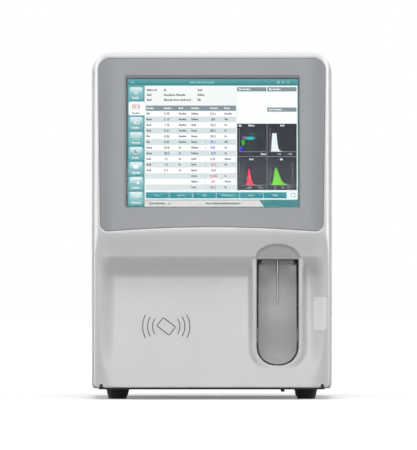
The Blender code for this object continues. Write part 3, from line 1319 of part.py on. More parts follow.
def partition_plate():
    """The upright plate that the fluid and electronic sides are built on."""
    low = panel_low()
    start = FRAME_RETURN + GAP
    end = SHELL_BACK - REAR_THICKNESS - GAP
    margin = FRAME_BORDER * 2
    window = rectangle(deep(end - FRAME_RETURN), deep(end - margin), low + margin, low + FRAME_RETURN)
    upright = plate("X", rectangle(deep(start), deep(end), low, PARTITION_TOP), PARTITION_X, PARTITION_X + SHEET,
                    [window])
    flange = block(PARTITION_X - FRAME_BORDER, PARTITION_X + SHEET / 2, deep(start), deep(end), low, low + SHEET)
    piece("partition_plate", united(upright, flange), PLATED_STEEL, (PARTITION_X, deep(start), low))


def feet():
    """Four rubber feet under the tray."""
    top = FOOT_HEIGHT - GAP
    for row, depth in (("front", FOOT_FRONT_DEPTH), ("rear", FOOT_BACK_DEPTH)):
        for column, side in (("left", -1), ("right", 1)):
            profile = [(0, 0), (FOOT_BOTTOM_RADIUS, 0), (FOOT_TOP_RADIUS, top), (0, top)]
            centre = (side * FOOT_X, deep(depth))
            piece(f"{row}_{column}_foot", turned("Z", centre, profile), BLACK_RUBBER, (*centre, 0))


# Rear fittings

def fan():
    """The cooling fan: a square frame with a spider and hub, and the rotor in front of it."""
    back = SHELL_BACK - REAR_THICKNESS - GAP
    front = back - FAN_THICKNESS
    frame = plate("Y", centred((FAN_X, FAN_Z), FAN_SIZE, FAN_SIZE), deep(front), deep(back),
                  [circle((FAN_X, FAN_Z), FAN_BORE, ROUND_STEPS)])
    spider_front = back - FAN_SPIDER_DEPTH
    bars = [plate("Y", centred((FAN_X, FAN_Z), FAN_BORE * 2 + FAN_SPIDER / 2, FAN_SPIDER),
                  deep(spider_front), deep(back - GAP)),
            plate("Y", centred((FAN_X, FAN_Z), FAN_SPIDER, FAN_BORE * 2 + FAN_SPIDER / 2),
                  deep(spider_front), deep(back - GAP)),
            rod("Y", (FAN_X, FAN_Z), FAN_HUB, deep(spider_front), deep(back - GAP), ROUND_STEPS),
            rod("Y", (FAN_X, FAN_Z), FAN_AXLE, deep(front + FAN_THICKNESS / 3), deep(back - GAP * 2))]
    piece("fan_frame", united(frame, *bars), BLACK_PLASTIC, (FAN_X, deep(back), FAN_Z))
    hub_front = deep(front + GAP)
    hub_back = deep(spider_front - GAP)
    hub = rod("Y", (FAN_X, FAN_Z), FAN_HUB, hub_front, hub_back, ROUND_STEPS)
    blades = []
    middle = (hub_front + hub_back) / 2
    root = FAN_HUB - GAP
    for number in range(FAN_BLADES):
        blade = plate("X", centred((0, 0), FAN_BLADE_WIDTH, FAN_BLADE_THICKNESS), root, FAN_BLADE_TIP)
        turn = Matrix.Rotation(math.tau * number / FAN_BLADES, 4, "Y") @ Matrix.Rotation(FAN_BLADE_PITCH, 4, "X")
        blade.transform(Matrix.Translation((FAN_X, middle, FAN_Z)) @ turn)
        blades.append(blade)
    bore = rod("Y", (FAN_X, FAN_Z), FAN_AXLE + GAP, deep(front + FAN_THICKNESS / 3 - GAP), deep(back))
    piece("fan_rotor", cut(united(hub, *blades), bore), BLACK_PLASTIC, (FAN_X, middle, FAN_Z))


def power_inlet():
    """The three-prong mains socket."""
    rear = SHELL_BACK + GAP
    face = rear + INLET_FLANGE_THICKNESS
    flange = plate("Y", centred((INLET_X, INLET_Z), INLET_WIDTH + 2 * INLET_FLANGE,
                                INLET_HEIGHT + 2 * INLET_FLANGE, INLET_FLANGE), deep(rear), deep(face))
    body = plate("Y", centred((INLET_X, INLET_Z), INLET_WIDTH, INLET_HEIGHT), deep(face - INLET_BODY),
                 deep(rear + GAP))
    socket = plate("Y", centred((INLET_X, INLET_Z), SOCKET_WIDTH, SOCKET_HEIGHT), deep(face - SOCKET_DEPTH),
                   deep(face + OVERRUN))
    prongs = []
    for share, rise in ((-1, -PRONG_RISE), (0, PRONG_RISE), (1, -PRONG_RISE)):
        centre = (INLET_X + share * PRONG_SPREAD, INLET_Z + rise)
        floor = face - SOCKET_DEPTH
        prongs.append(plate("Y", centred(centre, PRONG_WIDTH, PRONG_HEIGHT), deep(floor - GAP),
                            deep(floor + PRONG_LENGTH)))
    mesh = united(cut(united(flange, body), socket), *prongs)
    piece("power_inlet", mesh, BLACK_PLASTIC, (INLET_X, deep(rear), INLET_Z))


def power_switch():
    """The rocker switch: a frame in the rear panel, and a rocker shown switched off."""
    rear = SHELL_BACK + GAP
    face = rear + INLET_FLANGE_THICKNESS / 2
    width = ROCKER_WIDTH + 2 * SWITCH_WALL
    height = ROCKER_HEIGHT + 2 * SWITCH_WALL
    flange = plate("Y", centred((SWITCH_X, INLET_Z), width + 2 * SWITCH_WALL, height + 2 * SWITCH_WALL),
                   deep(rear), deep(face))
    body = plate("Y", centred((SWITCH_X, INLET_Z), width, height), deep(face - SWITCH_BODY), deep(rear + GAP))
    well = plate("Y", centred((SWITCH_X, INLET_Z), ROCKER_WIDTH, ROCKER_HEIGHT),
                 deep(face - ROCKER_DEPTH - ROCKER_PIVOT), deep(face + OVERRUN))
    frame = cut(united(flange, body), well)
    piece("power_switch_frame", frame, BLACK_PLASTIC, (SWITCH_X, deep(rear), INLET_Z))
    half = ROCKER_HEIGHT / 2 - ROCKER_PIVOT / 2
    dip = math.tan(ROCKER_ANGLE) * half
    pivot = face - ROCKER_DEPTH / 2
    profile = [(-ROCKER_DEPTH / 3, -half / 2), (ROCKER_DEPTH / 2 + dip, -half), (ROCKER_DEPTH / 2 - dip / 2, 0),
               (ROCKER_DEPTH / 2 + dip, half), (-ROCKER_DEPTH / 3, half / 2)]
    rocker = plate("X", profile, (GAP * 2 - ROCKER_WIDTH) / 2, (ROCKER_WIDTH - GAP * 2) / 2)
    centre = (SWITCH_X, deep(pivot), INLET_Z)
    rocker.transform(Matrix.Translation(centre) @ Matrix.Rotation(-ROCKER_ANGLE, 4, "X"))
    piece("power_rocker", rocker, BLACK_PLASTIC, centre)


def port_x(number):
    """The place of a fluid fitting in its row."""
    return PORT_X + (number - (PORT_COUNT - 1) / 2) * PORT_SPACING


def port_plate():
    """The rear plate with its barbed fluid fittings."""
    rear = SHELL_BACK + GAP
    face = rear + PORT_PLATE_THICKNESS
    mesh = plate("Y", centred((PORT_X, PORT_Z), PORT_PLATE_WIDTH, PORT_PLATE_HEIGHT, PORT_PLATE_RADIUS),
                 deep(rear), deep(face))
    end = BODY_DEPTH
    inner = SHELL_BACK - REAR_THICKNESS - PORT_BASE_RADIUS
    barb = PORT_BARB_RADIUS
    fittings = []
    bores = []
    for number in range(PORT_COUNT):
        centre = (port_x(number), PORT_Z)
        base_end = face + PORT_BASE_LENGTH
        neck = barb * 3 / 4
        profile = [(0, deep(inner)), (neck, deep(inner)), (neck, deep(face - GAP)),
                   (PORT_BASE_RADIUS, deep(face - GAP)),
                   (PORT_BASE_RADIUS, deep(base_end)), (neck, deep(base_end)),
                   (barb, deep((base_end + end) / 2)), (neck, deep((base_end + end) / 2)),
                   (neck, deep(end)), (0, deep(end))]
        fittings.append(turned("Y", centre, profile, FINE_ROUND_STEPS))
        bores.append(rod("Y", centre, PORT_BORE, deep(inner - OVERRUN), deep(end + OVERRUN), CORNER_STEPS * 2))
    piece("port_plate", cut(united(mesh, *fittings), *bores), PLATED_STEEL, (PORT_X, deep(rear), PORT_Z))


def data_socket_places():
    """Each data socket as (x, width, height)."""
    pitch = DATA_WIDTH / 3
    return [(DATA_X - pitch, LAN_WIDTH, LAN_HEIGHT), (DATA_X, USB_WIDTH, USB_HEIGHT),
            (DATA_X + pitch, USB_WIDTH, USB_HEIGHT)]


def data_port_block():
    """The network and serial bus sockets, in one shell through the rear panel."""
    face = SHELL_BACK + INLET_FLANGE_THICKNESS / 2
    block_mesh = plate("Y", centred((DATA_X, DATA_Z), DATA_WIDTH, DATA_HEIGHT), deep(face - DATA_DEPTH), deep(face))
    wells = [plate("Y", centred((x, DATA_Z), width, height), deep(face - DATA_SOCKET_DEPTH), deep(face + OVERRUN))
             for x, width, height in data_socket_places()]
    piece("data_port_block", cut(block_mesh, *wells), PLATED_STEEL, (DATA_X, deep(face), DATA_Z))


# Syringe unit

def barrel_places():
    """The two syringes, one in front of the other, as (name, depth)."""
    return [("diluent", SYRINGE_DEPTH - BARREL_SPACING / 2), ("lyse", SYRINGE_DEPTH + BARREL_SPACING / 2)]


def syringe_bracket():
    """The upright and two shelves that carry the screw, the motor and the barrels."""
    left = PARTITION_X + SHEET + GAP
    front = deep(SYRINGE_DEPTH - SYRINGE_HALF)
    back = deep(SYRINGE_DEPTH + SYRINGE_HALF)
    right = BARREL_X + BARREL_LIP
    upright = block(left, left + SYRINGE_SHELF, front, back, LOWER_SHELF_Z, SYRINGE_TOP_Z)
    rod_holes = [circle((BARREL_X, deep(depth)), PLUNGER_ROD + GAP * 2, FINE_ROUND_STEPS)
                 for _, depth in barrel_places()]
    screw_hole = circle((SCREW_X, deep(SYRINGE_DEPTH)), SCREW_RADIUS + GAP, FINE_ROUND_STEPS)
    outline = rectangle(left + SYRINGE_SHELF / 2, right, front, back)
    upper = plate("Z", outline, UPPER_SHELF_Z, UPPER_SHELF_Z + SYRINGE_SHELF, [*rod_holes, screw_hole])
    lower_right = SCREW_X + MOTOR_SIZE / 2
    lower = plate("Z", rectangle(left + SYRINGE_SHELF / 2, lower_right, front, back), LOWER_SHELF_Z,
                  LOWER_SHELF_Z + SYRINGE_SHELF,
                  [circle((SCREW_X, deep(SYRINGE_DEPTH)), MOTOR_BOSS_RADIUS + GAP, FINE_ROUND_STEPS)])
    piece("syringe_bracket", united(upright, upper, lower), ALUMINIUM, (left, front, LOWER_SHELF_Z))


def syringe_motor():
    """The stepper under the lower shelf."""
    face = LOWER_SHELF_Z - GAP
    mesh = motor("Z", (SCREW_X, deep(SYRINGE_DEPTH)), face, face - MOTOR_LENGTH, SCREW_RADIUS, 1)
    piece("syringe_motor", mesh, BLACK_PLASTIC, (SCREW_X, deep(SYRINGE_DEPTH), face))


def syringe_screw():
    """The lead screw, from the motor to the upper shelf."""
    low = LOWER_SHELF_Z - MOTOR_LENGTH / 3
    high = UPPER_SHELF_Z + SYRINGE_SHELF
    mesh = rod("Z", (SCREW_X, deep(SYRINGE_DEPTH)), SCREW_RADIUS, low, high)
    piece("syringe_screw", mesh, BRIGHT_STEEL, (SCREW_X, deep(SYRINGE_DEPTH), low))


def syringe_drive():
    """The nut plate on the screw, and the two plungers that stand on it."""
    screw_hole = circle((SCREW_X, deep(SYRINGE_DEPTH)), SCREW_RADIUS + GAP, FINE_ROUND_STEPS)
    left = SCREW_X - BARREL_LIP
    right = BARREL_X + BARREL_LIP - GAP
    half = BARREL_SPACING / 2 + BARREL_LIP / 2
    mesh = plate("Z", rectangle(left, right, deep(SYRINGE_DEPTH - half), deep(SYRINGE_DEPTH + half)),
                 DRIVE_PLATE_Z, DRIVE_PLATE_Z + DRIVE_PLATE_THICKNESS, [screw_hole])
    piece("syringe_drive_plate", mesh, ALUMINIUM, (SCREW_X, deep(SYRINGE_DEPTH), DRIVE_PLATE_Z))
    for name, depth in barrel_places():
        low = DRIVE_PLATE_Z + DRIVE_PLATE_THICKNESS + GAP
        head = BARREL_BORE - GAP
        profile = [(0, low), (PLUNGER_ROD, low), (PLUNGER_ROD, PLUNGER_HEAD_Z), (head, PLUNGER_HEAD_Z),
                   (head, PLUNGER_HEAD_Z + PLUNGER_HEAD_HEIGHT), (0, PLUNGER_HEAD_Z + PLUNGER_HEAD_HEIGHT)]
        centre = (BARREL_X, deep(depth))
        piece(f"{name}_plunger", turned("Z", centre, profile, FINE_ROUND_STEPS), BRIGHT_STEEL, (*centre, low))
        foot = UPPER_SHELF_Z + SYRINGE_SHELF + GAP
        top = foot + BARREL_HEIGHT
        lip = BARREL_LIP
        profile = [(BARREL_BORE, foot), (lip, foot), (lip, foot + BARREL_NECK), (BARREL_RADIUS, foot + BARREL_NECK),
                   (BARREL_RADIUS, top - BARREL_NECK), (BARREL_NECK, top), (BARREL_NECK, top + BARREL_RADIUS),
                   (BARREL_NECK / 2, top + BARREL_RADIUS), (BARREL_NECK / 2, top - BARREL_NECK * 2),
                   (BARREL_BORE, top - BARREL_NECK * 2)]
        piece(f"{name}_syringe_barrel", turned("Z", centre, profile), CLEAR_PLASTIC, (*centre, foot))


# Fluidics on the right of the partition

def bath_shelf():
    """The folded shelf that both counting baths stand on."""
    left = PARTITION_X + SHEET + GAP
    holes = [circle((x, deep(BATH_DEPTH)), BATH_NIPPLE + GAP, FINE_ROUND_STEPS) for x in (RED_BATH_X, WHITE_BATH_X)]
    front = deep(BATH_DEPTH - BATH_HALF)
    back = deep(BATH_DEPTH + BATH_HALF)
    shelf = plate("Z", rectangle(left, BATH_SHELF_RIGHT, front, back), BATH_SHELF_Z, BATH_SHELF_Z + SHEET, holes)
    fold = block(left, left + SHEET, front, back, BATH_SHELF_Z - FRAME_BORDER, BATH_SHELF_Z + SHEET / 2)
    piece("bath_shelf", united(shelf, fold), PLATED_STEEL, (left, front, BATH_SHELF_Z))


def counting_bath(name, x):
    """An open cup with a coned floor and a drain nipple through the shelf."""
    foot = BATH_SHELF_Z + SHEET + GAP
    top = foot + BATH_HEIGHT
    inner = BATH_RADIUS - BATH_WALL
    bore = BATH_NIPPLE / 2
    profile = [(bore, foot - BATH_NIPPLE_DROP), (BATH_NIPPLE, foot - BATH_NIPPLE_DROP), (BATH_NIPPLE, foot),
               (BATH_RADIUS, foot), (BATH_RADIUS, top), (inner, top), (inner, foot + BATH_CONE),
               (bore, foot + BATH_WALL)]
    centre = (x, deep(BATH_DEPTH))
    piece(name, turned("Z", centre, profile), CLEAR_PLASTIC, (*centre, foot))


def waste_pump():
    """The waste pump lying on the tray: motor, head, saddle and inlet nipple."""
    low = panel_low()
    middle = low + PUMP_BASE + PUMP_RADIUS
    front = deep(PUMP_DEPTH - PUMP_LENGTH / 2)
    back = deep(PUMP_DEPTH + PUMP_LENGTH / 2)
    body = rod("Y", (PUMP_X, middle), PUMP_RADIUS, front, back, ROUND_STEPS)
    head = plate("Y", centred((PUMP_X, middle), PUMP_HEAD_RADIUS * 2, PUMP_HEAD_RADIUS * 2),
                 front - PUMP_HEAD_LENGTH, front + GAP)
    saddle_half = PUMP_RADIUS - GAP
    saddle = block(PUMP_X - saddle_half, PUMP_X + saddle_half, front + PUMP_BASE, back - PUMP_HEAD_LENGTH, low,
                   middle - PUMP_BASE)
    nipple = rod("Z", (PUMP_X, front - PUMP_HEAD_LENGTH / 2), BATH_NIPPLE, middle,
                 middle + PUMP_HEAD_RADIUS + BATH_NIPPLE_DROP)
    piece("waste_pump", united(body, head, saddle, nipple), BLACK_PLASTIC, (PUMP_X, deep(PUMP_DEPTH), low))


def bath_drain_tube():
    """The soft tube from the rear bath's nipple down to the pump's."""
    start_z = BATH_SHELF_Z + SHEET + GAP - BATH_NIPPLE_DROP - GAP
    low = panel_low()
    pump_top = low + PUMP_BASE + PUMP_RADIUS + PUMP_HEAD_RADIUS + BATH_NIPPLE_DROP + GAP
    start_y = deep(BATH_DEPTH)
    end_y = deep(PUMP_DEPTH - PUMP_LENGTH / 2) - PUMP_HEAD_LENGTH / 2
    steps = 14
    curve = bpy.data.curves.new("bath_drain_tube", "CURVE")
    curve.dimensions = "3D"
    curve.bevel_depth = BATH_NIPPLE
    curve.bevel_resolution = 2
    curve.use_fill_caps = True
    spline = curve.splines.new("POLY")
    spline.points.add(steps)
    for step in range(steps + 1):
        share = step / steps
        y = start_y + (end_y - start_y) * smoothstep(1 / 4, 3 / 4, share)
        z = start_z + (pump_top - start_z) * share
        x = WHITE_BATH_X + (PUMP_X - WHITE_BATH_X) * share
        spline.points[step].co = (x, y - start_y, z - start_z, 1)
    for point in spline.points:
        point.co.x -= WHITE_BATH_X
    tube = bpy.data.objects.new("bath_drain_tube", curve)
    tube.location = (WHITE_BATH_X, start_y, start_z)
    curve.materials.append(finish("bath_drain_tube", CLEAR_PLASTIC))
    bpy.context.collection.objects.link(tube)


def vacuum_chamber():
    """The vacuum reservoir, standing on the tray."""
    low = panel_low()
    top = low + CHAMBER_HEIGHT
    profile = [(0, low), (CHAMBER_RADIUS, low), (CHAMBER_RADIUS, top - CHAMBER_CAP),
               (CHAMBER_CAP_RADIUS, top - CHAMBER_CAP), (CHAMBER_CAP_RADIUS, top), (BATH_NIPPLE, top),
               (BATH_NIPPLE, top + BATH_NIPPLE_DROP), (0, top + BATH_NIPPLE_DROP)]
    centre = (CHAMBER_X, deep(CHAMBER_DEPTH))
    piece("vacuum_chamber", turned("Z", centre, profile), CLEAR_PLASTIC, (*centre, low))


def valve_manifold():
    """The drilled block on the partition, with its rows of solenoid valves."""
    left = PARTITION_X + SHEET + GAP
    face = left + MANIFOLD_THICKNESS
    mesh = plate("X", centred((deep(MANIFOLD_DEPTH), MANIFOLD_Z), MANIFOLD_WIDTH, MANIFOLD_HEIGHT), left, face)
    pitch = MANIFOLD_WIDTH / SOLENOID_COLUMNS
    valves = []
    for column in range(SOLENOID_COLUMNS):
        for row in (-1, 1):
            y = deep(MANIFOLD_DEPTH) + (column - (SOLENOID_COLUMNS - 1) / 2) * pitch
            z = MANIFOLD_Z + row * MANIFOLD_HEIGHT / 4
            valves.append(rod("X", (y, z), SOLENOID_RADIUS, face - GAP, face + SOLENOID_LENGTH, CORNER_STEPS * 3))
    piece("valve_manifold", united(mesh, *valves), CLEAR_PLASTIC, (left, deep(MANIFOLD_DEPTH), MANIFOLD_Z))


def sampling_valve():
    """The rotary sampling valve: a fixed body on the partition, and a rotor with its lever."""
    left = PARTITION_X + SHEET + GAP
    face = left + VALVE_LENGTH
    centre = (deep(VALVE_DEPTH), VALVE_Z)
    body = rod("X", centre, VALVE_RADIUS, left, face, ROUND_STEPS)
    axle = rod("X", centre, VALVE_AXLE, face - GAP, face + ROTOR_THICKNESS + VALVE_AXLE)
    piece("sampling_valve_body", united(body, axle), PAINTED_STEEL, (left, *centre))
    start = face + GAP
    disc = plate("X", circle(centre, VALVE_RADIUS - GAP * 2), start, start + ROTOR_THICKNESS,
                 [circle(centre, VALVE_AXLE + GAP, FINE_ROUND_STEPS)])
    half = ROTOR_LEVER_HALF
    lever = block(start + GAP, start + ROTOR_THICKNESS / 2, centre[0] - half, centre[0] + half,
                  centre[1] + VALVE_RADIUS / 2, centre[1] + ROTOR_LEVER)
    piece("valve_rotor", united(disc, lever), ALUMINIUM, (start, *centre))


def optics_housing():
    """The sealed optics box on the partition, with its laser tube."""
    left = PARTITION_X + SHEET + GAP
    front = deep(OPTICS_FRONT)
    back = deep(OPTICS_FRONT + OPTICS_LENGTH)
    high = OPTICS_LOW + OPTICS_HEIGHT
    outline = rectangle(front, back, OPTICS_LOW, high, OPTICS_RADIUS)
    body = plate("X", outline, left, left + OPTICS_WIDTH)
    laser = rod("Y", (left + OPTICS_WIDTH / 2, (OPTICS_LOW + high) / 2), LASER_RADIUS, front - LASER_LENGTH,
                front + GAP, FINE_ROUND_STEPS)
    piece("optics_housing", united(body, laser), BLACK_PLASTIC, (left, front, OPTICS_LOW))


# Electronics on the left of the partition

def main_board():
    """The main circuit board on four posts, with its larger parts."""
    right = PARTITION_X - GAP
    face = right - BOARD_STANDOFF
    start = face - BOARD_THICKNESS
    mesh = plate("X", rectangle(deep(BOARD_FRONT), deep(BOARD_BACK), BOARD_LOW, BOARD_HIGH), start, face)
    parts = []
    for y in (deep(BOARD_FRONT) + BOARD_MARGIN, deep(BOARD_BACK) - BOARD_MARGIN):
        for z in (BOARD_LOW + BOARD_MARGIN, BOARD_HIGH - BOARD_MARGIN):
            parts.append(rod("X", (y, z), BOARD_STANDOFF_RADIUS, start + BOARD_THICKNESS / 2, right, CORNER_STEPS * 2))
    length = BOARD_BACK - BOARD_FRONT
    height = BOARD_HIGH - BOARD_LOW
    chip_shares = ((0.3, 0.7, 0.16, 1), (0.62, 0.72, 0.12, 1), (0.3, 0.35, 0.1, 1),
                   (0.75, 0.3, 0.14, 2.5), (0.55, 0.12, 0.08, 3), (0.1, 0.5, 0.09, 2))
    for along_share, up_share, size_share, rise_share in chip_shares:
        y = deep(BOARD_FRONT + length * along_share)
        z = BOARD_LOW + height * up_share
        parts.append(plate("X", centred((y, z), length * size_share, length * size_share),
                           start - CHIP_HEIGHT * rise_share, start + BOARD_THICKNESS / 2))
    piece("main_board", united(mesh, *parts), GREEN_BOARD, (right, deep(BOARD_FRONT), BOARD_LOW))


def power_supply():
    """The boxed power supply on the tray."""
    low = panel_low()
    mesh = block(SUPPLY_LEFT, SUPPLY_RIGHT, deep(SUPPLY_FRONT), deep(SUPPLY_BACK), low, low + SUPPLY_HEIGHT)
    piece("power_supply", mesh, PLATED_STEEL, (SUPPLY_LEFT, deep(SUPPLY_FRONT), low))


def main():
    for thing in list(bpy.data.objects):
        bpy.data.objects.remove(thing)
    front_cover()
    display_bezel()
    display_stack()
    aspirate_key()
    key_switch()
    drip_spout()
    card_reader_board()
    lift_bracket()
    guide_rods()
    probe_carriage()
    sample_probe()
    rinse_block()
    lift_pulleys()
    lift_motor()
    top_cover()
    left_side_panel()
    right_side_door()
    door_lock()
    base_tray()
    rear_panel()
    front_frame()
    partition_plate()
    feet()
    fan()
    power_inlet()
    power_switch()
    port_plate()
    data_port_block()
    syringe_bracket()
    syringe_motor()
    syringe_screw()
    syringe_drive()
    bath_shelf()
    counting_bath("white_cell_bath", WHITE_BATH_X)
    counting_bath("red_cell_bath", RED_BATH_X)
    waste_pump()
    bath_drain_tube()
    vacuum_chamber()
    valve_manifold()
    sampling_valve()
    optics_housing()
    main_board()
    power_supply()


main()
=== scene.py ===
"""The looks of a bench-top hematology analyzer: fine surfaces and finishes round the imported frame.

Metres, +Z up, the front faces -Y. A depth is measured backwards from the foremost edge of the front cover.
"""

import json
import math

import bmesh
import bpy
import numpy as np
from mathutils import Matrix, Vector

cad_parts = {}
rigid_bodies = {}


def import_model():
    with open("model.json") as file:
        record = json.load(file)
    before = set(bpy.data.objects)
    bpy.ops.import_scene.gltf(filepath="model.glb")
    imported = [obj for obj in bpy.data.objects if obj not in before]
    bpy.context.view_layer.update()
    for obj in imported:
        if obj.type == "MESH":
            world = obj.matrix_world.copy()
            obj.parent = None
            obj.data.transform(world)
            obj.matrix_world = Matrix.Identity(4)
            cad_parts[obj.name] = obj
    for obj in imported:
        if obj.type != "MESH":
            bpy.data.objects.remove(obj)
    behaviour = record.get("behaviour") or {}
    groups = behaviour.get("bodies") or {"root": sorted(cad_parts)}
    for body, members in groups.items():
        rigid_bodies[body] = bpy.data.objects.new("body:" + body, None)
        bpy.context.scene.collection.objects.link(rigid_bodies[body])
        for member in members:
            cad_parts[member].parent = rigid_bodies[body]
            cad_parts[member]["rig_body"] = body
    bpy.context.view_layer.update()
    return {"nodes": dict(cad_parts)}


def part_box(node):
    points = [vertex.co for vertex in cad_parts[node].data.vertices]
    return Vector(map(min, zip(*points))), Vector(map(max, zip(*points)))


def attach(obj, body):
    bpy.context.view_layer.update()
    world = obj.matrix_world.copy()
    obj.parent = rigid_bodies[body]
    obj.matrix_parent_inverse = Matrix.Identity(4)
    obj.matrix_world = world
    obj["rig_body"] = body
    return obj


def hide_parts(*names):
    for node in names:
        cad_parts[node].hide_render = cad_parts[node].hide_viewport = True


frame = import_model()
NODES = frame["nodes"]
MM = 0.001
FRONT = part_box("front_cover")[0].y

# Front cover: outline and walls
COVER_HALF = 146.5 * MM
COVER_LOW = 14.7 * MM
COVER_HIGH = 433 * MM
COVER_BACK = 60 * MM
COVER_WALL = 3 * MM
SCREEN_WALL = 5.6 * MM
TOP_RADIUS = 21 * MM
FOOT_RADIUS = 6 * MM
RIM_RADIUS = 7 * MM
PANEL_RIM_RADIUS = 1.6 * MM
ROLL_START = 120 * MM
ROLL_RADIUS = 46 * MM

# Front cover: profile from the screen down to the foot
SCREEN_SLOPE = math.tan(math.radians(7))
SCREEN_FOOT = 207 * MM
RIDGE_HEIGHT = 212 * MM
RIDGE_ARCH = 5.5 * MM
RIDGE_ROUNDING = 1.5 * MM
FASCIA_LOW = 181 * MM
FASCIA_DEPTH = 5.2 * MM
RECESS_HEIGHT = 152 * MM
RECESS_DEPTH = 23 * MM
PANEL_FOOT = 22 * MM
PANEL_FOOT_DEPTH = 8 * MM
PANEL_BOW = 0.3
RECESS_EDGE = 143 * MM
RECESS_FULL = 121 * MM

# Screen surround
BEZEL_TOP_HALF = 141.6 * MM
BEZEL_FOOT_HALF = 139 * MM
BEZEL_TOP = 425.3 * MM
BEZEL_FOOT = 209.8 * MM
BEZEL_ARCH = 5.2 * MM
BEZEL_TOP_RADIUS = 15 * MM
BEZEL_FOOT_RADIUS = 10 * MM
BEZEL_SET = 0.8 * MM
BEZEL_THICKNESS = 2.3 * MM
SURROUND_LIP = 3 * MM
SURROUND_LIP_WIDTH = 2 * MM
FOOT_LIP = 4.6 * MM
FOOT_LIP_WIDTH = 3.5 * MM
TOP_LIP = 16 * MM
TOP_LIP_WIDTH = 5 * MM
SCREEN_X = 0.5 * MM
SCREEN_Z = 321.5 * MM
OPENING_WIDTH = 218.5 * MM
OPENING_HEIGHT = 165.2 * MM
SIGHT_LEFT = -106.6 * MM
SIGHT_RIGHT = 108.5 * MM
SIGHT_FOOT = 239.2 * MM
SIGHT_TOP = 400.6 * MM

# Sampling bay
BAY_X = 82 * MM
BAY_HALF = 26 * MM
BAY_TOP = 174.8 * MM
BAY_FOOT = 42.2 * MM
BAY_RADIUS = 23 * MM
COLLAR_DEPTH = 7 * MM
COLLAR_LEAN = 2.6 * MM
COLLAR_LEAN_START = 120 * MM
COLLAR_RIM = 4.2 * MM
COLLAR_SKIRT = 11 * MM
COLLAR_LIP = 1.4 * MM
SLEEVE_BACK = 50 * MM
SLEEVE_WALL = 4 * MM
HOOD_HALF = 27.8 * MM
HOOD_DEPTH = 13 * MM
HOOD_RISE = 18.9 * MM
HOOD_FRONT = 4 * MM
HOOD_WALL = 3 * MM
GAP = 0.3 * MM


# Meshes worked out with numpy

def mesh_piece(name, points, faces):
    """An object from an array of points and a list of index arrays, one for each size of face."""
    mesh = bpy.data.meshes.new(name)
    listed = [face for block in faces for face in np.asarray(block).tolist()]
    mesh.from_pydata(np.asarray(points, float).reshape(-1, 3).tolist(), [], listed)
    mesh.update()
    thing = bpy.data.objects.new(name, mesh)
    bpy.context.collection.objects.link(thing)
    return thing


def grid_faces(rows, columns, first=0, round_rows=False, round_columns=False):
    """The quads of a grid of points, which may close on itself either way."""
    row = np.arange(rows if round_rows else rows - 1)
    column = np.arange(columns if round_columns else columns - 1)
    r, c = np.meshgrid(row, column, indexing="ij")
    r2, c2 = (r + 1) % rows, (c + 1) % columns
    quads = np.stack([r * columns + c, r * columns + c2, r2 * columns + c2, r2 * columns + c], axis=-1)
    return first + quads.reshape(-1, 4)


def outward(thing, merge=1e-6):
    """Merge doubles and turn the faces outwards."""
    form = bmesh.new()
    form.from_mesh(thing.data)
    bmesh.ops.remove_doubles(form, verts=form.verts, dist=merge)
    bmesh.ops.recalc_face_normals(form, faces=form.faces)
    form.to_mesh(thing.data)
    form.free()
    return thing


def creased(thing, degrees=30):
    """Shade smooth up to a crease, with level shading on large flat faces."""
    thing.data.shade_smooth()
    thing.data.set_sharp_from_angle(angle=math.radians(degrees))
    level = thing.modifiers.new("flat_faces", "WEIGHTED_NORMAL")
    level.keep_sharp = True
    return thing


def worked(thing, operation, *tools):
    """The piece joined with, cut by or kept inside its tools, which are used up."""
    for tool in tools:
        modifier = thing.modifiers.new(operation.title(), "BOOLEAN")
        modifier.operation = operation
        modifier.object = tool
    depsgraph = bpy.context.evaluated_depsgraph_get()
    result = bpy.data.meshes.new_from_object(thing.evaluated_get(depsgraph))
    thing.modifiers.clear()
    thing.data = result
    for tool in tools:
        bpy.data.objects.remove(tool)
    return thing


def edge_ring(rows, columns):
    """The points on the edge of a grid, in order round it."""
    index = np.arange(rows * columns).reshape(rows, columns)
    return np.concatenate([index[0], index[1:, -1], index[-1, -2::-1], index[-2:0:-1, 0]])


def two_skins(name, front, back):
    """A thin form from two grids of one size, joined round their edges."""
    rows, columns = front.shape[:2]
    count = rows * columns
    ring = edge_ring(rows, columns)
    after = np.roll(ring, -1)
    wall = np.stack([ring, after, after + count, ring + count], axis=-1)
    points = np.concatenate([front.reshape(-1, 3), back.reshape(-1, 3)])
    faces = [grid_faces(rows, columns), grid_faces(rows, columns, count), wall]
    return outward(mesh_piece(name, points, faces))


def arc(centre, radius, start, end, steps):
    """Points on a circle about a centre between two angles in degrees."""
    angle = np.radians(np.linspace(start, end, steps + 1))
    return np.stack([centre[0] + radius * np.cos(angle), centre[1] + radius * np.sin(angle)], axis=-1)


def circle(centre, radius, steps):
    """Points round a full circle."""
    return arc(centre, radius, 0, 360, steps)[:-1]


def rounded_outline(left, right, low, high, radius, steps=8):
    """A rectangle with round corners, as a closed loop of points."""
    return np.concatenate([
        arc((right - radius, low + radius), radius, -90, 0, steps),
        arc((right - radius, high - radius), radius, 0, 90, steps),
        arc((left + radius, high - radius), radius, 90, 180, steps),
        arc((left + radius, low + radius), radius, 180, 270, steps)])


AXES = {"X": (2, 0, 1), "Y": (0, 2, 1), "Z": (0, 1, 2)}


def on_axis(axis, u, v, w):
    """Points from two coordinates square to an axis and one along it."""
    order = AXES[axis]
    parts = (u, v, w)
    return np.stack(np.broadcast_arrays(*(parts[index] for index in order)), axis=-1)


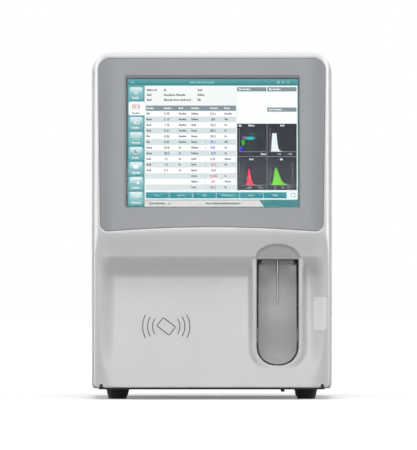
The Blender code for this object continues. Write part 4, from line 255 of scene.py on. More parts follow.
def prism(name, axis, outline, start, end):
    """A convex or star-shaped outline carried along an axis, its ends filled as fans about the middle."""
    outline = np.asarray(outline)
    count = len(outline)
    middle = outline.mean(axis=0)
    rings = np.concatenate([outline, outline, middle[None], middle[None]])
    along = np.concatenate([np.full(count, start), np.full(count, end), [start, end]])
    points = on_axis(axis, rings[:, 0], rings[:, 1], along)
    here = np.arange(count)
    after = (here + 1) % count
    walls = np.stack([here, after, after + count, here + count], axis=-1)
    lids = np.concatenate([np.stack([after, here, np.full(count, 2 * count)], axis=-1),
                           np.stack([here + count, after + count, np.full(count, 2 * count + 1)], axis=-1)])
    return outward(mesh_piece(name, points, [walls, lids]))


def turned(name, axis, centre, profile, steps=48):
    """A profile of (radius, place along the axis) carried round the axis, closed where it meets it."""
    profile = np.asarray(profile, float)
    angle = np.linspace(0, math.tau, steps, endpoint=False)
    radius = profile[:, 0][:, None]
    u = centre[0] + radius * np.cos(angle)
    v = centre[1] + radius * np.sin(angle)
    points = on_axis(axis, u, v, profile[:, 1][:, None] + 0 * angle)
    faces = grid_faces(len(profile), steps, round_columns=True, round_rows=profile[0, 0] > 0)
    thing = outward(mesh_piece(name, points, [faces]))
    return creased(without_flat_faces(thing))


def without_flat_faces(thing):
    """Drop the faces that collapsed at a pole."""
    form = bmesh.new()
    form.from_mesh(thing.data)
    bmesh.ops.dissolve_degenerate(form, dist=1e-7, edges=form.edges)
    form.to_mesh(thing.data)
    form.free()
    return thing


def rounded_corner(points, radius, steps=4):
    """A profile with each inner corner replaced by a short round stretch."""
    points = np.asarray(points, float)
    made = [points[0]]
    for before, here, after in zip(points, points[1:], points[2:]):
        back, on = before - here, after - here
        reach = min(radius, np.hypot(*back) / 2.2, np.hypot(*on) / 2.2)
        start = here + back / np.hypot(*back) * reach
        end = here + on / np.hypot(*on) * reach
        share = np.linspace(0, 1, steps + 1)[:, None]
        made.extend((1 - share) ** 2 * start + 2 * share * (1 - share) * here + share ** 2 * end)
    made.append(points[-1])
    return np.array(made)


# The front surface, as a depth over the front view

def smoothstep(low, high, value):
    """The share s between two values as 3 s squared less 2 s cubed, so it is flat at both ends."""
    share = np.clip((value - low) / (high - low), 0, 1)
    return share * share * (3 - 2 * share)


def profile_depth(z):
    """The middle profile: fascia, turn-under, recess, and the panel that leans forward to the foot."""
    fascia = FASCIA_DEPTH * (RIDGE_HEIGHT - z) / (RIDGE_HEIGHT - FASCIA_LOW)
    turn = FASCIA_DEPTH + (RECESS_DEPTH - FASCIA_DEPTH) * smoothstep(0, 1, (FASCIA_LOW - z)
                                                                     / (FASCIA_LOW - RECESS_HEIGHT))
    share = (z - PANEL_FOOT) / (RECESS_HEIGHT - PANEL_FOOT)
    bowed = share + PANEL_BOW * share * (1 - share)
    panel = PANEL_FOOT_DEPTH + (RECESS_DEPTH - PANEL_FOOT_DEPTH) * bowed
    return np.where(z >= FASCIA_LOW, fascia, np.where(z >= RECESS_HEIGHT, turn, panel))


def side_depth(z):
    """The profile at the sides, where the recess has faded out."""
    slope = PANEL_FOOT_DEPTH / (RIDGE_HEIGHT - PANEL_FOOT)
    return np.maximum(slope * (RIDGE_HEIGHT - z), -RIDGE_ROUNDING)


def screen_depth(z):
    """The depth of the screen's plane, which leans back evenly as it rises."""
    return SCREEN_SLOPE * (z - SCREEN_FOOT)


def roll_depth(x):
    """How far the sides roll back, on a round of one radius."""
    reach = np.clip(np.abs(x) - ROLL_START, 0, ROLL_RADIUS * 0.99)
    return ROLL_RADIUS - np.sqrt(ROLL_RADIUS ** 2 - reach ** 2)


def bay_distance(x, z):
    """The distance outside the bay's U."""
    across = np.maximum(np.abs(x - BAY_X) - BAY_HALF + BAY_RADIUS, 0)
    down = np.maximum(BAY_FOOT + BAY_RADIUS - z, 0)
    return np.hypot(across, down) - BAY_RADIUS


def lip_depth(distance, radius):
    """The quarter round by which an edge falls back within a radius of its opening."""
    reach = np.clip(radius - distance, 0, radius)
    return radius - np.sqrt(radius ** 2 - reach ** 2)


def panel_depth(x, z):
    """The whole front without its outer rim: screen plane, lower profile, collar and lips."""
    arched = z + RIDGE_ARCH * (x / RECESS_EDGE) ** 2 * smoothstep(FASCIA_LOW, RIDGE_HEIGHT, z)
    fade = smoothstep(RECESS_FULL, RECESS_EDGE, np.abs(x))
    lower = profile_depth(arched) * (1 - fade) + side_depth(arched) * fade
    away = bay_distance(x, z)
    raised = 1 - smoothstep(COLLAR_RIM, COLLAR_SKIRT, away)
    lean = COLLAR_LEAN * np.clip((COLLAR_LEAN_START - z) / (COLLAR_LEAN_START - BAY_FOOT), 0, 1)
    lower = lower + raised * (np.minimum(lower, COLLAR_DEPTH + lean + FRONT_SET) - lower)
    upper = screen_depth(z)
    depth = (upper + lower + np.hypot(upper - lower, RIDGE_ROUNDING)) / 2 + roll_depth(x)
    bay_lip = np.where(z < BAY_TOP, lip_depth(away, COLLAR_LIP), 0)
    hood_reach = (np.hypot((x - BAY_X) / HOOD_HALF, (z - BAY_TOP) / HOOD_RISE) - 1) * HOOD_RISE
    hood_lip = np.where(z >= BAY_TOP, lip_depth(hood_reach, COLLAR_LIP / 2), 0)
    return depth + bay_lip + hood_lip


# The shift that set_front works out, and the rows and columns of the rim
FRONT_SET = 0
EDGE_ANGLES = np.radians(np.linspace(90, 0, 13))
RIM_STEPS = RIM_RADIUS * (1 - np.sin(EDGE_ANGLES))


def surround_lip_depth(x, z):
    """The round by which the cover dips towards the surround, over the distance to its outline.

    It is broad below the surround, narrow beside it, and flat and wide above it.
    """
    loop = bezel_loop()
    x, z = np.broadcast_arrays(x, z)
    near = (z > BEZEL_FOOT - 4 * MM) & (z < COVER_HIGH)
    places = np.stack([x[near], z[near]], axis=-1)
    step = np.roll(loop, -1, axis=0) - loop
    share = np.clip(((places[:, None] - loop) * step).sum(-1) / (step ** 2).sum(-1), 0, 1)
    away = np.full(x.shape, 1.0)
    away[near] = np.hypot(*np.moveaxis(places[:, None] - loop - share[..., None] * step, -1, 0)).min(axis=1)
    low = smoothstep(BEZEL_FOOT + 16 * MM, BEZEL_FOOT + 4 * MM, z)
    high = smoothstep(BEZEL_TOP - 12 * MM, BEZEL_TOP, z)
    radius, width = (side + (foot - side) * low + (top - side) * high for side, foot, top in
                     ((SURROUND_LIP, FOOT_LIP, TOP_LIP), (SURROUND_LIP_WIDTH, FOOT_LIP_WIDTH, TOP_LIP_WIDTH)))
    reach = np.clip(width - away, 0, width)
    return radius - np.sqrt(radius ** 2 - reach ** 2)


def row_heights():
    """The heights of the grid: dense over corners, the collar's foot, the turn-under and the ridge."""
    foot = COVER_LOW + FOOT_RADIUS * (1 - np.cos(np.radians(np.linspace(0, 90, 9))))
    collar = np.linspace(27, 70, 54) * MM
    panel = np.linspace(74, 148, 14) * MM
    turn = np.linspace(150, 198, 62) * MM
    ridge = np.linspace(199, 219, 61) * MM
    screen = np.linspace(226, 408, 12) * MM
    top = COVER_HIGH - TOP_RADIUS * (1 - np.sin(np.radians(np.linspace(0, 90, 17))))
    rim = COVER_HIGH - np.concatenate([RIM_STEPS, np.linspace(4, 9, 18) * MM])
    return np.unique(np.round(np.concatenate([foot, collar, panel, turn, ridge, screen, top, rim]), 6))


def column_places():
    """The grid's columns, as shares of the half width: dense at the rims, the rolls and the bay."""
    rim = COVER_HALF - np.concatenate([RIM_STEPS, np.linspace(1.4, 8, 20) * MM])
    roll = np.linspace(118, 139, 12) * MM
    left = np.linspace(-112, 36, 20) * MM
    bay = np.linspace(40, 116, 96) * MM
    places = np.concatenate([-rim, -roll, left, bay, roll, rim])
    return np.unique(np.round(places / COVER_HALF, 5))


def outline_half(z, inset):
    """Half the cover's width at a height, inside its round corners."""
    half, low, high = COVER_HALF - inset, COVER_LOW + inset, COVER_HIGH - inset
    top, foot = TOP_RADIUS - inset, FOOT_RADIUS - inset
    above = np.maximum(z - high + top, 0)
    below = np.maximum(low + foot - z, 0)
    return (half - top + np.sqrt(np.maximum(top ** 2 - above ** 2, 0))
            - foot + np.sqrt(np.maximum(foot ** 2 - below ** 2, 0)))


def rim_radius(z):
    """The rim's radius: full beside the screen, and small beside the lower panel and at the foot."""
    return PANEL_RIM_RADIUS + (RIM_RADIUS - PANEL_RIM_RADIUS) * smoothstep(FASCIA_LOW, RIDGE_HEIGHT, z)


def rim_depth(x, z, inset):
    """The round rim: a quarter round over the distance inside the outline."""
    half, low, high = COVER_HALF - inset, COVER_LOW + inset, COVER_HIGH - inset
    middle = (low + high) / 2
    corner = np.where(z > middle, TOP_RADIUS, FOOT_RADIUS) - inset
    across = np.abs(x) - half + corner
    up = np.abs(z - middle) - (high - low) / 2 + corner
    outside = np.hypot(np.maximum(across, 0), np.maximum(up, 0))
    inside = corner - outside - np.minimum(np.maximum(across, up), 0)
    return lip_depth(np.maximum(inside, 0), np.maximum(rim_radius(z) - inset, 0))


def skin(inset):
    """One skin of the cover as a grid of points."""
    heights = row_heights()
    tall = COVER_HIGH - COVER_LOW
    z = COVER_LOW + inset + (heights - COVER_LOW) * (tall - 2 * inset) / tall
    z = z[:, None]
    x = column_places()[None] * outline_half(z, inset)
    wall = COVER_WALL + (SCREEN_WALL - COVER_WALL) * smoothstep(FASCIA_LOW, SCREEN_FOOT, z)
    further = wall if inset else surround_lip_depth(x, z)
    depth = panel_depth(x, z) - FRONT_SET + rim_depth(x, z, inset) + further
    return np.stack(np.broadcast_arrays(x, FRONT + depth, z), axis=-1)


def set_front():
    """The shift that puts the foremost point of the cover on the frame's front."""
    global FRONT_SET
    x = (column_places() * COVER_HALF)[None]
    FRONT_SET = float(panel_depth(x, row_heights()[:, None]).min())


def cover_shell(name):
    """The cover's wall: an outer and an inner skin, joined round the back edge."""
    points, faces, rings = [], [], []
    first = 0
    for inset in (0, COVER_WALL):
        grid = skin(inset)
        rows, columns = grid.shape[:2]
        edge = edge_ring(rows, columns)
        flat = grid.reshape(-1, 3)
        back = flat[edge].copy()
        back[:, 1] = FRONT + COVER_BACK
        points.extend([flat, back])
        faces.append(grid_faces(rows, columns, first))
        ring = first + len(flat) + np.arange(len(edge))
        front_ring = first + edge
        faces.append(np.stack([front_ring, np.roll(front_ring, -1), np.roll(ring, -1), ring], axis=-1))
        rings.append(ring)
        first += len(flat) + len(back)
    outer, inner = rings
    faces.append(np.stack([outer, np.roll(outer, -1), np.roll(inner, -1), inner], axis=-1))
    return outward(mesh_piece(name, np.concatenate(points), faces))


def bay_outline(growth, top):
    """The bay's U, grown by a margin."""
    half, radius, foot = BAY_HALF + growth, BAY_RADIUS + growth, BAY_FOOT - growth
    return np.concatenate([arc((BAY_X - half + radius, foot + radius), radius, 180, 270, 24),
                           arc((BAY_X + half - radius, foot + radius), radius, 270, 360, 24),
                           [[BAY_X + half, top], [BAY_X - half, top]]])


def screen_loop(top_half, foot_half, top, foot, top_radius, foot_radius, arch, side=24, corner=10):
    """The surround's outline with a set number of points on each side and corner."""
    share = np.linspace(-1, 1, side + 1)[1:-1]
    flat = foot_half - foot_radius
    crown = np.stack([share * flat, foot + arch * (1 - share ** 2)], axis=-1)
    right_x = foot_half + (top_half - foot_half) * (share + 1) / 2
    low, high = foot + foot_radius, top - top_radius
    right = np.stack([right_x, low + (high - low) * (share + 1) / 2], axis=-1)
    upper = np.stack([-share * (top_half - top_radius), np.full(len(share), top)], axis=-1)
    left = right[::-1] * (-1, 1)
    return np.concatenate([crown,
                           arc((flat, low), foot_radius, -90, 0, corner), right,
                           arc((top_half - top_radius, high), top_radius, 0, 90, corner), upper,
                           arc((top_radius - top_half, high), top_radius, 90, 180, corner), left,
                           arc((-flat, low), foot_radius, 180, 270, corner)])


def bezel_loop(growth=0):
    """The surround's outer edge, grown by a margin."""
    return screen_loop(BEZEL_TOP_HALF + growth, BEZEL_FOOT_HALF + growth, BEZEL_TOP + growth,
                       BEZEL_FOOT - growth, BEZEL_TOP_RADIUS + growth, BEZEL_FOOT_RADIUS + growth, BEZEL_ARCH)


def opening_loop(growth=0, radius=2 * MM):
    """The opening in the surround, grown by a margin."""
    half = OPENING_WIDTH / 2 + growth
    top = SCREEN_Z + OPENING_HEIGHT / 2 + growth
    foot = SCREEN_Z - OPENING_HEIGHT / 2 - growth
    loop = screen_loop(half, half, top, foot, radius, radius, 0)
    return loop + (SCREEN_X, 0)


def sight_loop(growth=0, radius=1.2 * MM):
    """The inner edge of the bevel, where the glass begins."""
    half = (SIGHT_RIGHT - SIGHT_LEFT) / 2 + growth
    loop = screen_loop(half, half, SIGHT_TOP + growth, SIGHT_FOOT - growth, radius, radius, 0)
    return loop + ((SIGHT_LEFT + SIGHT_RIGHT) / 2, 0)


def plane_y(x, z, offset):
    """The Y of a point an offset behind the screen plane, with its rolled sides."""
    return FRONT + screen_depth(z) - FRONT_SET + roll_depth(x) + offset


def loop_grid(loops, offsets):
    """Loops of the screen plane at offsets behind it, as a grid of points."""
    rows = [np.stack([loop[:, 0], plane_y(loop[:, 0], loop[:, 1], offset), loop[:, 1]], axis=-1)
            for loop, offset in zip(loops, offsets)]
    return np.stack(rows)


# Finishes: shared node groups first

COLOUR = "NodeSocketColor"
NUMBER = "NodeSocketFloat"
VECTOR = "NodeSocketVector"


def node_group(name, inputs, outputs):
    """An empty shader group with named sockets, and its two ends."""
    group = bpy.data.node_groups.new(name, "ShaderNodeTree")
    for label, kind, value in inputs:
        socket = group.interface.new_socket(name=label, in_out="INPUT", socket_type=kind)
        if value is not None:
            socket.default_value = value
    for label, kind in outputs:
        group.interface.new_socket(name=label, in_out="OUTPUT", socket_type=kind)
    return group, group.nodes.new("NodeGroupInput"), group.nodes.new("NodeGroupOutput")


def add(tree, kind, links=None, **settings):
    """A node with its plain settings, and values or links for its input sockets."""
    node = tree.nodes.new("ShaderNode" + kind)
    for key, value in settings.items():
        setattr(node, key, value)
    for key, value in (links or {}).items():
        if isinstance(value, bpy.types.NodeSocket):
            tree.links.new(value, node.inputs[key])
        else:
            node.inputs[key].default_value = value
    return node


def noise(tree, coordinates, scale, detail=3, roughness=0.5):
    """The value of a noise over some coordinates."""
    settings = {"Vector": coordinates, "Scale": scale, "Detail": detail, "Roughness": roughness}
    return add(tree, "TexNoise", settings).outputs["Fac"]


def ramp(tree, value, low, high, start=0.0, end=1.0):
    """A value carried from one range to another and clamped there."""
    return add(tree, "MapRange", {"Value": value, "From Min": low, "From Max": high,
                                  "To Min": start, "To Max": end}).outputs["Result"]


def maths(tree, operation, first, second):
    """One sum of two values or sockets."""
    return add(tree, "Math", {0: first, 1: second}, operation=operation).outputs["Value"]


def mixed(tree, share, first, second):
    """Two colours or colour sockets mixed by a share."""
    node = add(tree, "Mix", {"Factor": share}, data_type="RGBA")
    for socket, value in ((6, first), (7, second)):
        if isinstance(value, bpy.types.NodeSocket):
            tree.links.new(value, node.inputs[socket])
        else:
            node.inputs[socket].default_value = (*value, 1)
    return node.outputs[2]


def tone_group():
    """Colour that drifts over the piece: broad unevenness, fine mottle, and dust on what faces up."""
    group, start, end = node_group("tone_and_dust", [
        ("Color", COLOUR, (0.8, 0.8, 0.8, 1)), ("Dust Color", COLOUR, (0.7, 0.68, 0.64, 1)),
        ("Drift", NUMBER, 0.03), ("Mottle", NUMBER, 0.02), ("Dust", NUMBER, 0.1)],
        [("Color", COLOUR)])
    here = add(group, "TexCoord").outputs["Object"]
    broad = ramp(group, noise(group, here, 9.0, 2), 0.3, 0.7, -1.0, 1.0)
    fine = ramp(group, noise(group, here, 320.0, 4, 0.6), 0.3, 0.7, -1.0, 1.0)
    change = maths(group, "ADD", maths(group, "MULTIPLY", broad, start.outputs["Drift"]),
                   maths(group, "MULTIPLY", fine, start.outputs["Mottle"]))
    value = maths(group, "ADD", change, 1.0)
    shaded = add(group, "HueSaturation", {"Color": start.outputs["Color"], "Value": value}).outputs["Color"]
    facing = add(group, "SeparateXYZ", {"Vector": add(group, "NewGeometry").outputs["Normal"]}).outputs["Z"]
    upward = ramp(group, facing, 0.55, 1.0)
    patchy = ramp(group, noise(group, here, 60.0, 5, 0.65), 0.35, 0.75)
    amount = maths(group, "MULTIPLY", maths(group, "MULTIPLY", upward, patchy), start.outputs["Dust"])
    dusty = mixed(group, amount, shaded, start.outputs["Dust Color"])
    group.links.new(dusty, end.inputs["Color"])
    return group


def edge_group():
    """A mask of the sharp outer edges, where handling rubs the finish.

    The bevelled normal is set against the plain one.
    """
    group, start, end = node_group("edge_wear", [("Width", NUMBER, 0.0008)],
                                   [("Mask", NUMBER)])
    softened = add(group, "Bevel", {"Radius": start.outputs["Width"]}, samples=4)
    plain = add(group, "NewGeometry")
    turn = add(group, "VectorMath", {0: softened.outputs["Normal"], 1: plain.outputs["Normal"]},
               operation="DOT_PRODUCT").outputs["Value"]
    here = add(group, "TexCoord").outputs["Object"]
    broken = ramp(group, noise(group, here, 240.0, 4, 0.7), 0.4, 0.62)
    rubbed = ramp(group, turn, 0.985, 0.88)
    group.links.new(maths(group, "MULTIPLY", rubbed, broken), end.inputs["Mask"])
    return group


def uneven_gloss(group, start, change):
    """The group's Roughness, moved by a change times its Uneven."""
    moved = maths(group, "MULTIPLY", change, start.outputs["Uneven"])
    return maths(group, "ADD", start.outputs["Roughness"], moved)


def moulded_group():
    """The height and gloss of moulded plastic: a fine grain and the wide sink of a thick wall."""
    group, start, end = node_group("moulded_grain", [
        ("Grain", NUMBER, 900.0), ("Roughness", NUMBER, 0.4),
        ("Uneven", NUMBER, 0.06)],
        [("Height", NUMBER), ("Roughness", NUMBER)])
    here = add(group, "TexCoord").outputs["Object"]
    cells = add(group, "TexVoronoi", {"Vector": here, "Scale": start.outputs["Grain"]},
                feature="SMOOTH_F1").outputs["Distance"]
    sink = noise(group, here, 26.0, 2)
    group.links.new(maths(group, "ADD", cells, maths(group, "MULTIPLY", sink, 0.6)), end.inputs["Height"])
    smear = ramp(group, noise(group, here, 38.0, 4, 0.6), 0.3, 0.7, -1.0, 1.0)
    group.links.new(uneven_gloss(group, start, smear), end.inputs["Roughness"])
    return group


def drawn_group():
    """The fine lines of rolled or drawn metal along one direction, as height and gloss."""
    group, start, end = node_group("drawn_metal", [
        ("Stretch", VECTOR, (1, 1, 60)), ("Roughness", NUMBER, 0.3),
        ("Uneven", NUMBER, 0.1)],
        [("Height", NUMBER), ("Roughness", NUMBER)])
    here = add(group, "TexCoord").outputs["Object"]
    pulled = add(group, "VectorMath", {0: here, 1: start.outputs["Stretch"]}, operation="MULTIPLY")
    lines = noise(group, pulled.outputs["Vector"], 60.0, 5, 0.7)
    group.links.new(lines, end.inputs["Height"])
    change = ramp(group, lines, 0.3, 0.7, -1.0, 1.0)
    group.links.new(uneven_gloss(group, start, change), end.inputs["Roughness"])
    return group


GROUPS = {}


def use(tree, name, **values):
    """A placed group with its own values."""
    node = tree.nodes.new("ShaderNodeGroup")
    node.node_tree = GROUPS[name]
    for key, value in values.items():
        socket = node.inputs[key.replace("_", " ").title()]
        if isinstance(value, bpy.types.NodeSocket):
            tree.links.new(value, socket)
        else:
            socket.default_value = (*value, 1) if socket.type == "RGBA" else value
    return node


def blank(name):
    """A new node material with its Principled BSDF."""
    material = bpy.data.materials.new(name)
    material.use_nodes = True
    return material, material.node_tree, material.node_tree.nodes["Principled BSDF"]


def bumped(tree, height, strength, distance):
    """The normal of a surface raised by a height."""
    return add(tree, "Bump", {"Height": height, "Strength": strength, "Distance": distance}).outputs["Normal"]


def plastic(name, color, roughness, grain=900.0, strength=0.12, worn=None, wear=0.5, dust=0.1, drift=0.03,
            specular=0.5, mottle=0.015, uneven=0.05):
    """Moulded plastic: drifting colour, rubbed edges, a fine grain and uneven gloss."""
    material, tree, shader = blank(name)
    tone = use(tree, "tone", color=color, dust=dust, drift=drift, mottle=mottle)
    colour = tone.outputs["Color"]
    if worn:
        edge = use(tree, "edge", width=0.0008)
        amount = maths(tree, "MULTIPLY", edge.outputs["Mask"], wear)
        colour = mixed(tree, amount, colour, worn)
    tree.links.new(colour, shader.inputs["Base Color"])
    grained = use(tree, "moulded", grain=grain, roughness=roughness, uneven=uneven)
    tree.links.new(grained.outputs["Roughness"], shader.inputs["Roughness"])
    tree.links.new(bumped(tree, grained.outputs["Height"], strength, 0.0002), shader.inputs["Normal"])
    shader.inputs["Specular IOR Level"].default_value = specular
    return material


def metal(name, color, roughness, stretch=(60, 60, 1), strength=0.08, worn=None, dust=0.05, uneven=0.08):
    """Bare metal with drawn lines, a little drift in colour and dust."""
    material, tree, shader = blank(name)
    tone = use(tree, "tone", color=color, dust=dust, drift=0.04, mottle=0.02)
    colour = tone.outputs["Color"]
    if worn:
        colour = mixed(tree, use(tree, "edge", width=0.0006).outputs["Mask"], colour, worn)
    tree.links.new(colour, shader.inputs["Base Color"])
    shader.inputs["Metallic"].default_value = 1.0
    lines = use(tree, "drawn", stretch=stretch, roughness=roughness, uneven=uneven)
    tree.links.new(lines.outputs["Roughness"], shader.inputs["Roughness"])
    tree.links.new(bumped(tree, lines.outputs["Height"], strength, 0.0001), shader.inputs["Normal"])
    return material


# Front cover and its bay

CUT_START = -9 * MM
WINDOW_GROWTH = 4 * MM
WINDOW_BACK = 14 * MM
SPOUT_X = 88.4 * MM
SPOUT_DEPTH = 40 * MM
SPOUT_RADIUS = 2.5 * MM
SLEEVE_START = 3.4 * MM
HOOD_START = 6.2 * MM
BAY_BACK = 58 * MM
PROBE_DEPTH = 31 * MM
PROBE_HOLE = 2.4 * MM
NECK_HALF = 20 * MM


def ellipsoid(name, growth, steps=72, rings=36):
    """The hood's ellipsoid, grown by a margin, as a grid in longitude and latitude."""
    turn = np.linspace(0, math.tau, steps, endpoint=False)[None]
    rise = np.linspace(-math.pi / 2, math.pi / 2, rings + 1)[:, None]
    x = BAY_X + (HOOD_HALF + growth) * np.cos(rise) * np.cos(turn)
    y = FRONT + HOOD_FRONT + (HOOD_DEPTH + growth) * np.cos(rise) * np.sin(turn)
    z = BAY_TOP + (HOOD_RISE + growth) * np.sin(rise) + 0 * turn
    thing = mesh_piece(name, np.stack([x, y, z], axis=-1), [grid_faces(rings + 1, steps, round_columns=True)])
    return without_flat_faces(outward(thing))


def slab(name, low, high):
    """A plain block between two corners, as a cutter or a core."""
    x, y, z = (np.array([low[axis], high[axis]]) for axis in range(3))
    points = np.stack(np.meshgrid(x, y, z, indexing="ij"), axis=-1).reshape(-1, 3)
    faces = [[0, 1, 3, 2], [4, 6, 7, 5], [0, 4, 5, 1], [2, 3, 7, 6], [0, 2, 6, 4], [1, 5, 7, 3]]
    return mesh_piece(name, points, [faces])


def hood_form(name, growth, start):
    """The upper half of the hood, behind a start depth."""
    half = HOOD_HALF + growth + 6 * MM
    keep = slab("keep", (BAY_X - half, FRONT + start, BAY_TOP - 3 * MM),
                (BAY_X + half, FRONT + 60 * MM, BAY_TOP + HOOD_RISE + 12 * MM))
    return worked(ellipsoid(name, growth), "INTERSECT", keep)


def loops_form(name, loops, offsets, steps=16):
    """A closed form from loops on the screen plane, whose back follows the plane in shrinking loops."""
    middle = loops[-1].mean(axis=0)
    shares = np.linspace(1, 0, steps + 1)[1:-1]
    loops = list(loops) + [middle + (loops[-1] - middle) * share for share in shares]
    offsets = list(offsets) + [offsets[-1]] * len(shares)
    grid = loop_grid(loops, offsets)
    rows, count = grid.shape[:2]
    faces = [grid_faces(rows, count, round_columns=True)]
    points = [grid.reshape(-1, 3)]
    for row in (0, rows - 1):
        here = row * count + np.arange(count)
        after = row * count + (np.arange(count) + 1) % count
        faces.append(np.stack([here, after, np.full(count, rows * count + (row > 0))], axis=-1))
        points.append(grid[row].mean(axis=0)[None])
    return outward(mesh_piece(name, np.concatenate(points), faces))


def make_front_cover():
    """The moulded front with its pocket, window, bay, hood and sleeve."""
    cover = cover_shell("cover_shell")
    pocket = loops_form("pocket", [bezel_loop(GAP)] * 2, [CUT_START, BEZEL_SET + BEZEL_THICKNESS + GAP])
    window = loops_form("window", [opening_loop(WINDOW_GROWTH)] * 2, [CUT_START, WINDOW_BACK])
    spout = prism("spout_hole", "Z", circle((SPOUT_X, FRONT + SPOUT_DEPTH), SPOUT_RADIUS + GAP, 32),
                  6 * MM, 20 * MM)
    cover = worked(cover, "DIFFERENCE", pocket, window, spout)
    sleeve = prism("sleeve", "Y", bay_outline(SLEEVE_WALL, BAY_TOP + HOOD_WALL),
                   FRONT + COLLAR_DEPTH + SLEEVE_START, FRONT + SLEEVE_BACK)
    cover = worked(cover, "UNION", sleeve, hood_form("hood_wall", HOOD_WALL, HOOD_START))
    bay = prism("bay", "Y", bay_outline(0, BAY_TOP + 0.2 * MM), FRONT - 6 * MM, FRONT + BAY_BACK)
    hood = hood_form("hood_room", 0, CUT_START)
    probe = prism("probe_hole", "Z", circle((BAY_X, FRONT + PROBE_DEPTH), PROBE_HOLE, 32),
                  BAY_TOP - 6 * MM, BAY_TOP + 24 * MM)
    neck = slab("neck", (BAY_X - 20.3 * MM, FRONT + 38 * MM, BAY_TOP - 6 * MM),
                (BAY_X + 20.3 * MM, FRONT + BAY_BACK, BAY_TOP + 7 * MM))
    cover = worked(cover, "DIFFERENCE", bay, hood, probe, neck)
    cover.name = "front_moulding"
    return creased(cover, 35)


# The key, from its hub to the curved foot
KEY_HUB_Z = BAY_TOP + 11.2 * MM
KEY_HUB_DEPTH = 46 * MM
KEY_THICKNESS = 3.6 * MM
KEY_CLEARANCE = 1.6 * MM
KEY_TOP_DEPTH = 42 * MM
KEY_BEND = (118 * MM, 38.4 * MM)
KEY_FOOT_REACH = 12.5 * MM
KEY_ROLL = 1.1 * MM
KEY_DISH = 1.3 * MM
KEY_DISH_FOOT = 26 * MM
KEY_DISH_TOP = 30 * MM
KEY_HUB = 4 * MM
KEY_BORE = 1.8 * MM


def key_depth(z):
    """The depth of the key's middle surface at a height: a straight run, then a parabola out to the foot."""
    slope = (KEY_TOP_DEPTH - KEY_BEND[1]) / (BAY_TOP - KEY_BEND[0])
    straight = KEY_BEND[1] + slope * (z - KEY_BEND[0])
    below = np.maximum(KEY_BEND[0] - z, 0) / (KEY_BEND[0] - BAY_FOOT)
    return straight - KEY_FOOT_REACH * below ** 2


def key_half(z):
    """Half the key's width inside its round foot corners."""
    half, radius, foot = BAY_HALF - KEY_CLEARANCE, BAY_RADIUS - KEY_CLEARANCE, BAY_FOOT + KEY_CLEARANCE
    below = np.clip(foot + radius - z, 0, radius)
    return half - radius + np.sqrt(np.maximum(radius ** 2 - below ** 2, 0))


def make_key():
    """The plate behind the bay: a grid over height and width, with a rolled edge, a back, and its hub."""
    foot, top = BAY_FOOT + KEY_CLEARANCE, BAY_TOP - KEY_CLEARANCE
    rows = foot + (top - foot) * (1 - np.cos(np.linspace(0, math.pi / 2, 60))) ** 1.2
    z = rows[:, None]
    share = np.sin(np.linspace(-math.pi / 2, math.pi / 2, 57))[None]
    x = BAY_X + share * np.maximum(key_half(z), 0.02 * MM)
    edge = np.minimum(key_half(z) * (1 - np.abs(share)), (top - z) + 0 * share)
    rolled = lip_depth(edge, KEY_ROLL)
    dish = KEY_DISH * (1 - share ** 2) * smoothstep(foot, foot + KEY_DISH_FOOT, z)
    dish = dish * smoothstep(top, top - KEY_DISH_TOP, z)
    front_y = FRONT + key_depth(z) - KEY_THICKNESS / 2 + rolled + dish
    back_y = FRONT + key_depth(z) + KEY_THICKNESS / 2 + dish
    front = np.stack(np.broadcast_arrays(x, front_y, z), axis=-1)
    back = np.stack(np.broadcast_arrays(x, back_y, z), axis=-1)
    plate = two_skins("key_plate", front, back)
    neck = slab("key_neck", (BAY_X - NECK_HALF, FRONT + 40.4 * MM, BAY_TOP - 6 * MM),
                (BAY_X + NECK_HALF, FRONT + 44 * MM, KEY_HUB_Z))
    hub_middle = (FRONT + KEY_HUB_DEPTH, KEY_HUB_Z)
    hub = prism("key_hub", "X", circle(hub_middle, KEY_HUB, 32), BAY_X - NECK_HALF, BAY_X + NECK_HALF)
    bore = prism("key_bore", "X", circle(hub_middle, KEY_BORE, 24), BAY_X - BAY_HALF, BAY_X + BAY_HALF)
    plate = worked(plate, "UNION", neck, hub)
    plate = worked(plate, "DIFFERENCE", bore)
    plate.name = "key_moulding"
    return creased(plate, 35)


def make_bezel():
    """The grey surround: its outer edge rolled over, its opening bevelled down to the glass."""
    back = BEZEL_SET + BEZEL_THICKNESS
    outer = [(0, back)] + [(-0.9 * MM * (1 - math.sin(a)), BEZEL_SET + 0.9 * MM * (1 - math.cos(a)))
                           for a in np.linspace(math.pi / 2, 0, 6)]
    loops = [bezel_loop(growth) for growth, _ in outer]
    offsets = [offset for _, offset in outer]
    outside, inside = loops[-1], opening_loop(0.8 * MM)
    for share in np.linspace(0, 1, 13)[1:-1]:
        loops.append(outside + (inside - outside) * share)
        offsets.append(BEZEL_SET)
    for growth, offset in ((0.8, 0), (0.4, 0.07), (0.1, 0.24)):
        loops.append(opening_loop(growth * MM))
        offsets.append(BEZEL_SET + offset * MM)
    for share in np.linspace(0, 1, 5)[1:]:
        loops.append(opening_loop(0) * (1 - share) + sight_loop() * share)
        offsets.append(BEZEL_SET + (0.3 + 1.9 * share) * MM)
    outside, inside = bezel_loop(0), loops[-1]
    for share in np.linspace(1, 0, 13)[1:-1]:
        loops.append(outside + (inside - outside) * share)
        offsets.append(back)
    grid = loop_grid(loops, offsets)
    rows, count = grid.shape[:2]
    thing = outward(mesh_piece("screen_surround", grid, [grid_faces(rows, count, round_rows=True,
                                                                      round_columns=True)]))
    return creased(thing, 40)


# Pieces carried over from the frame, with their edges broken

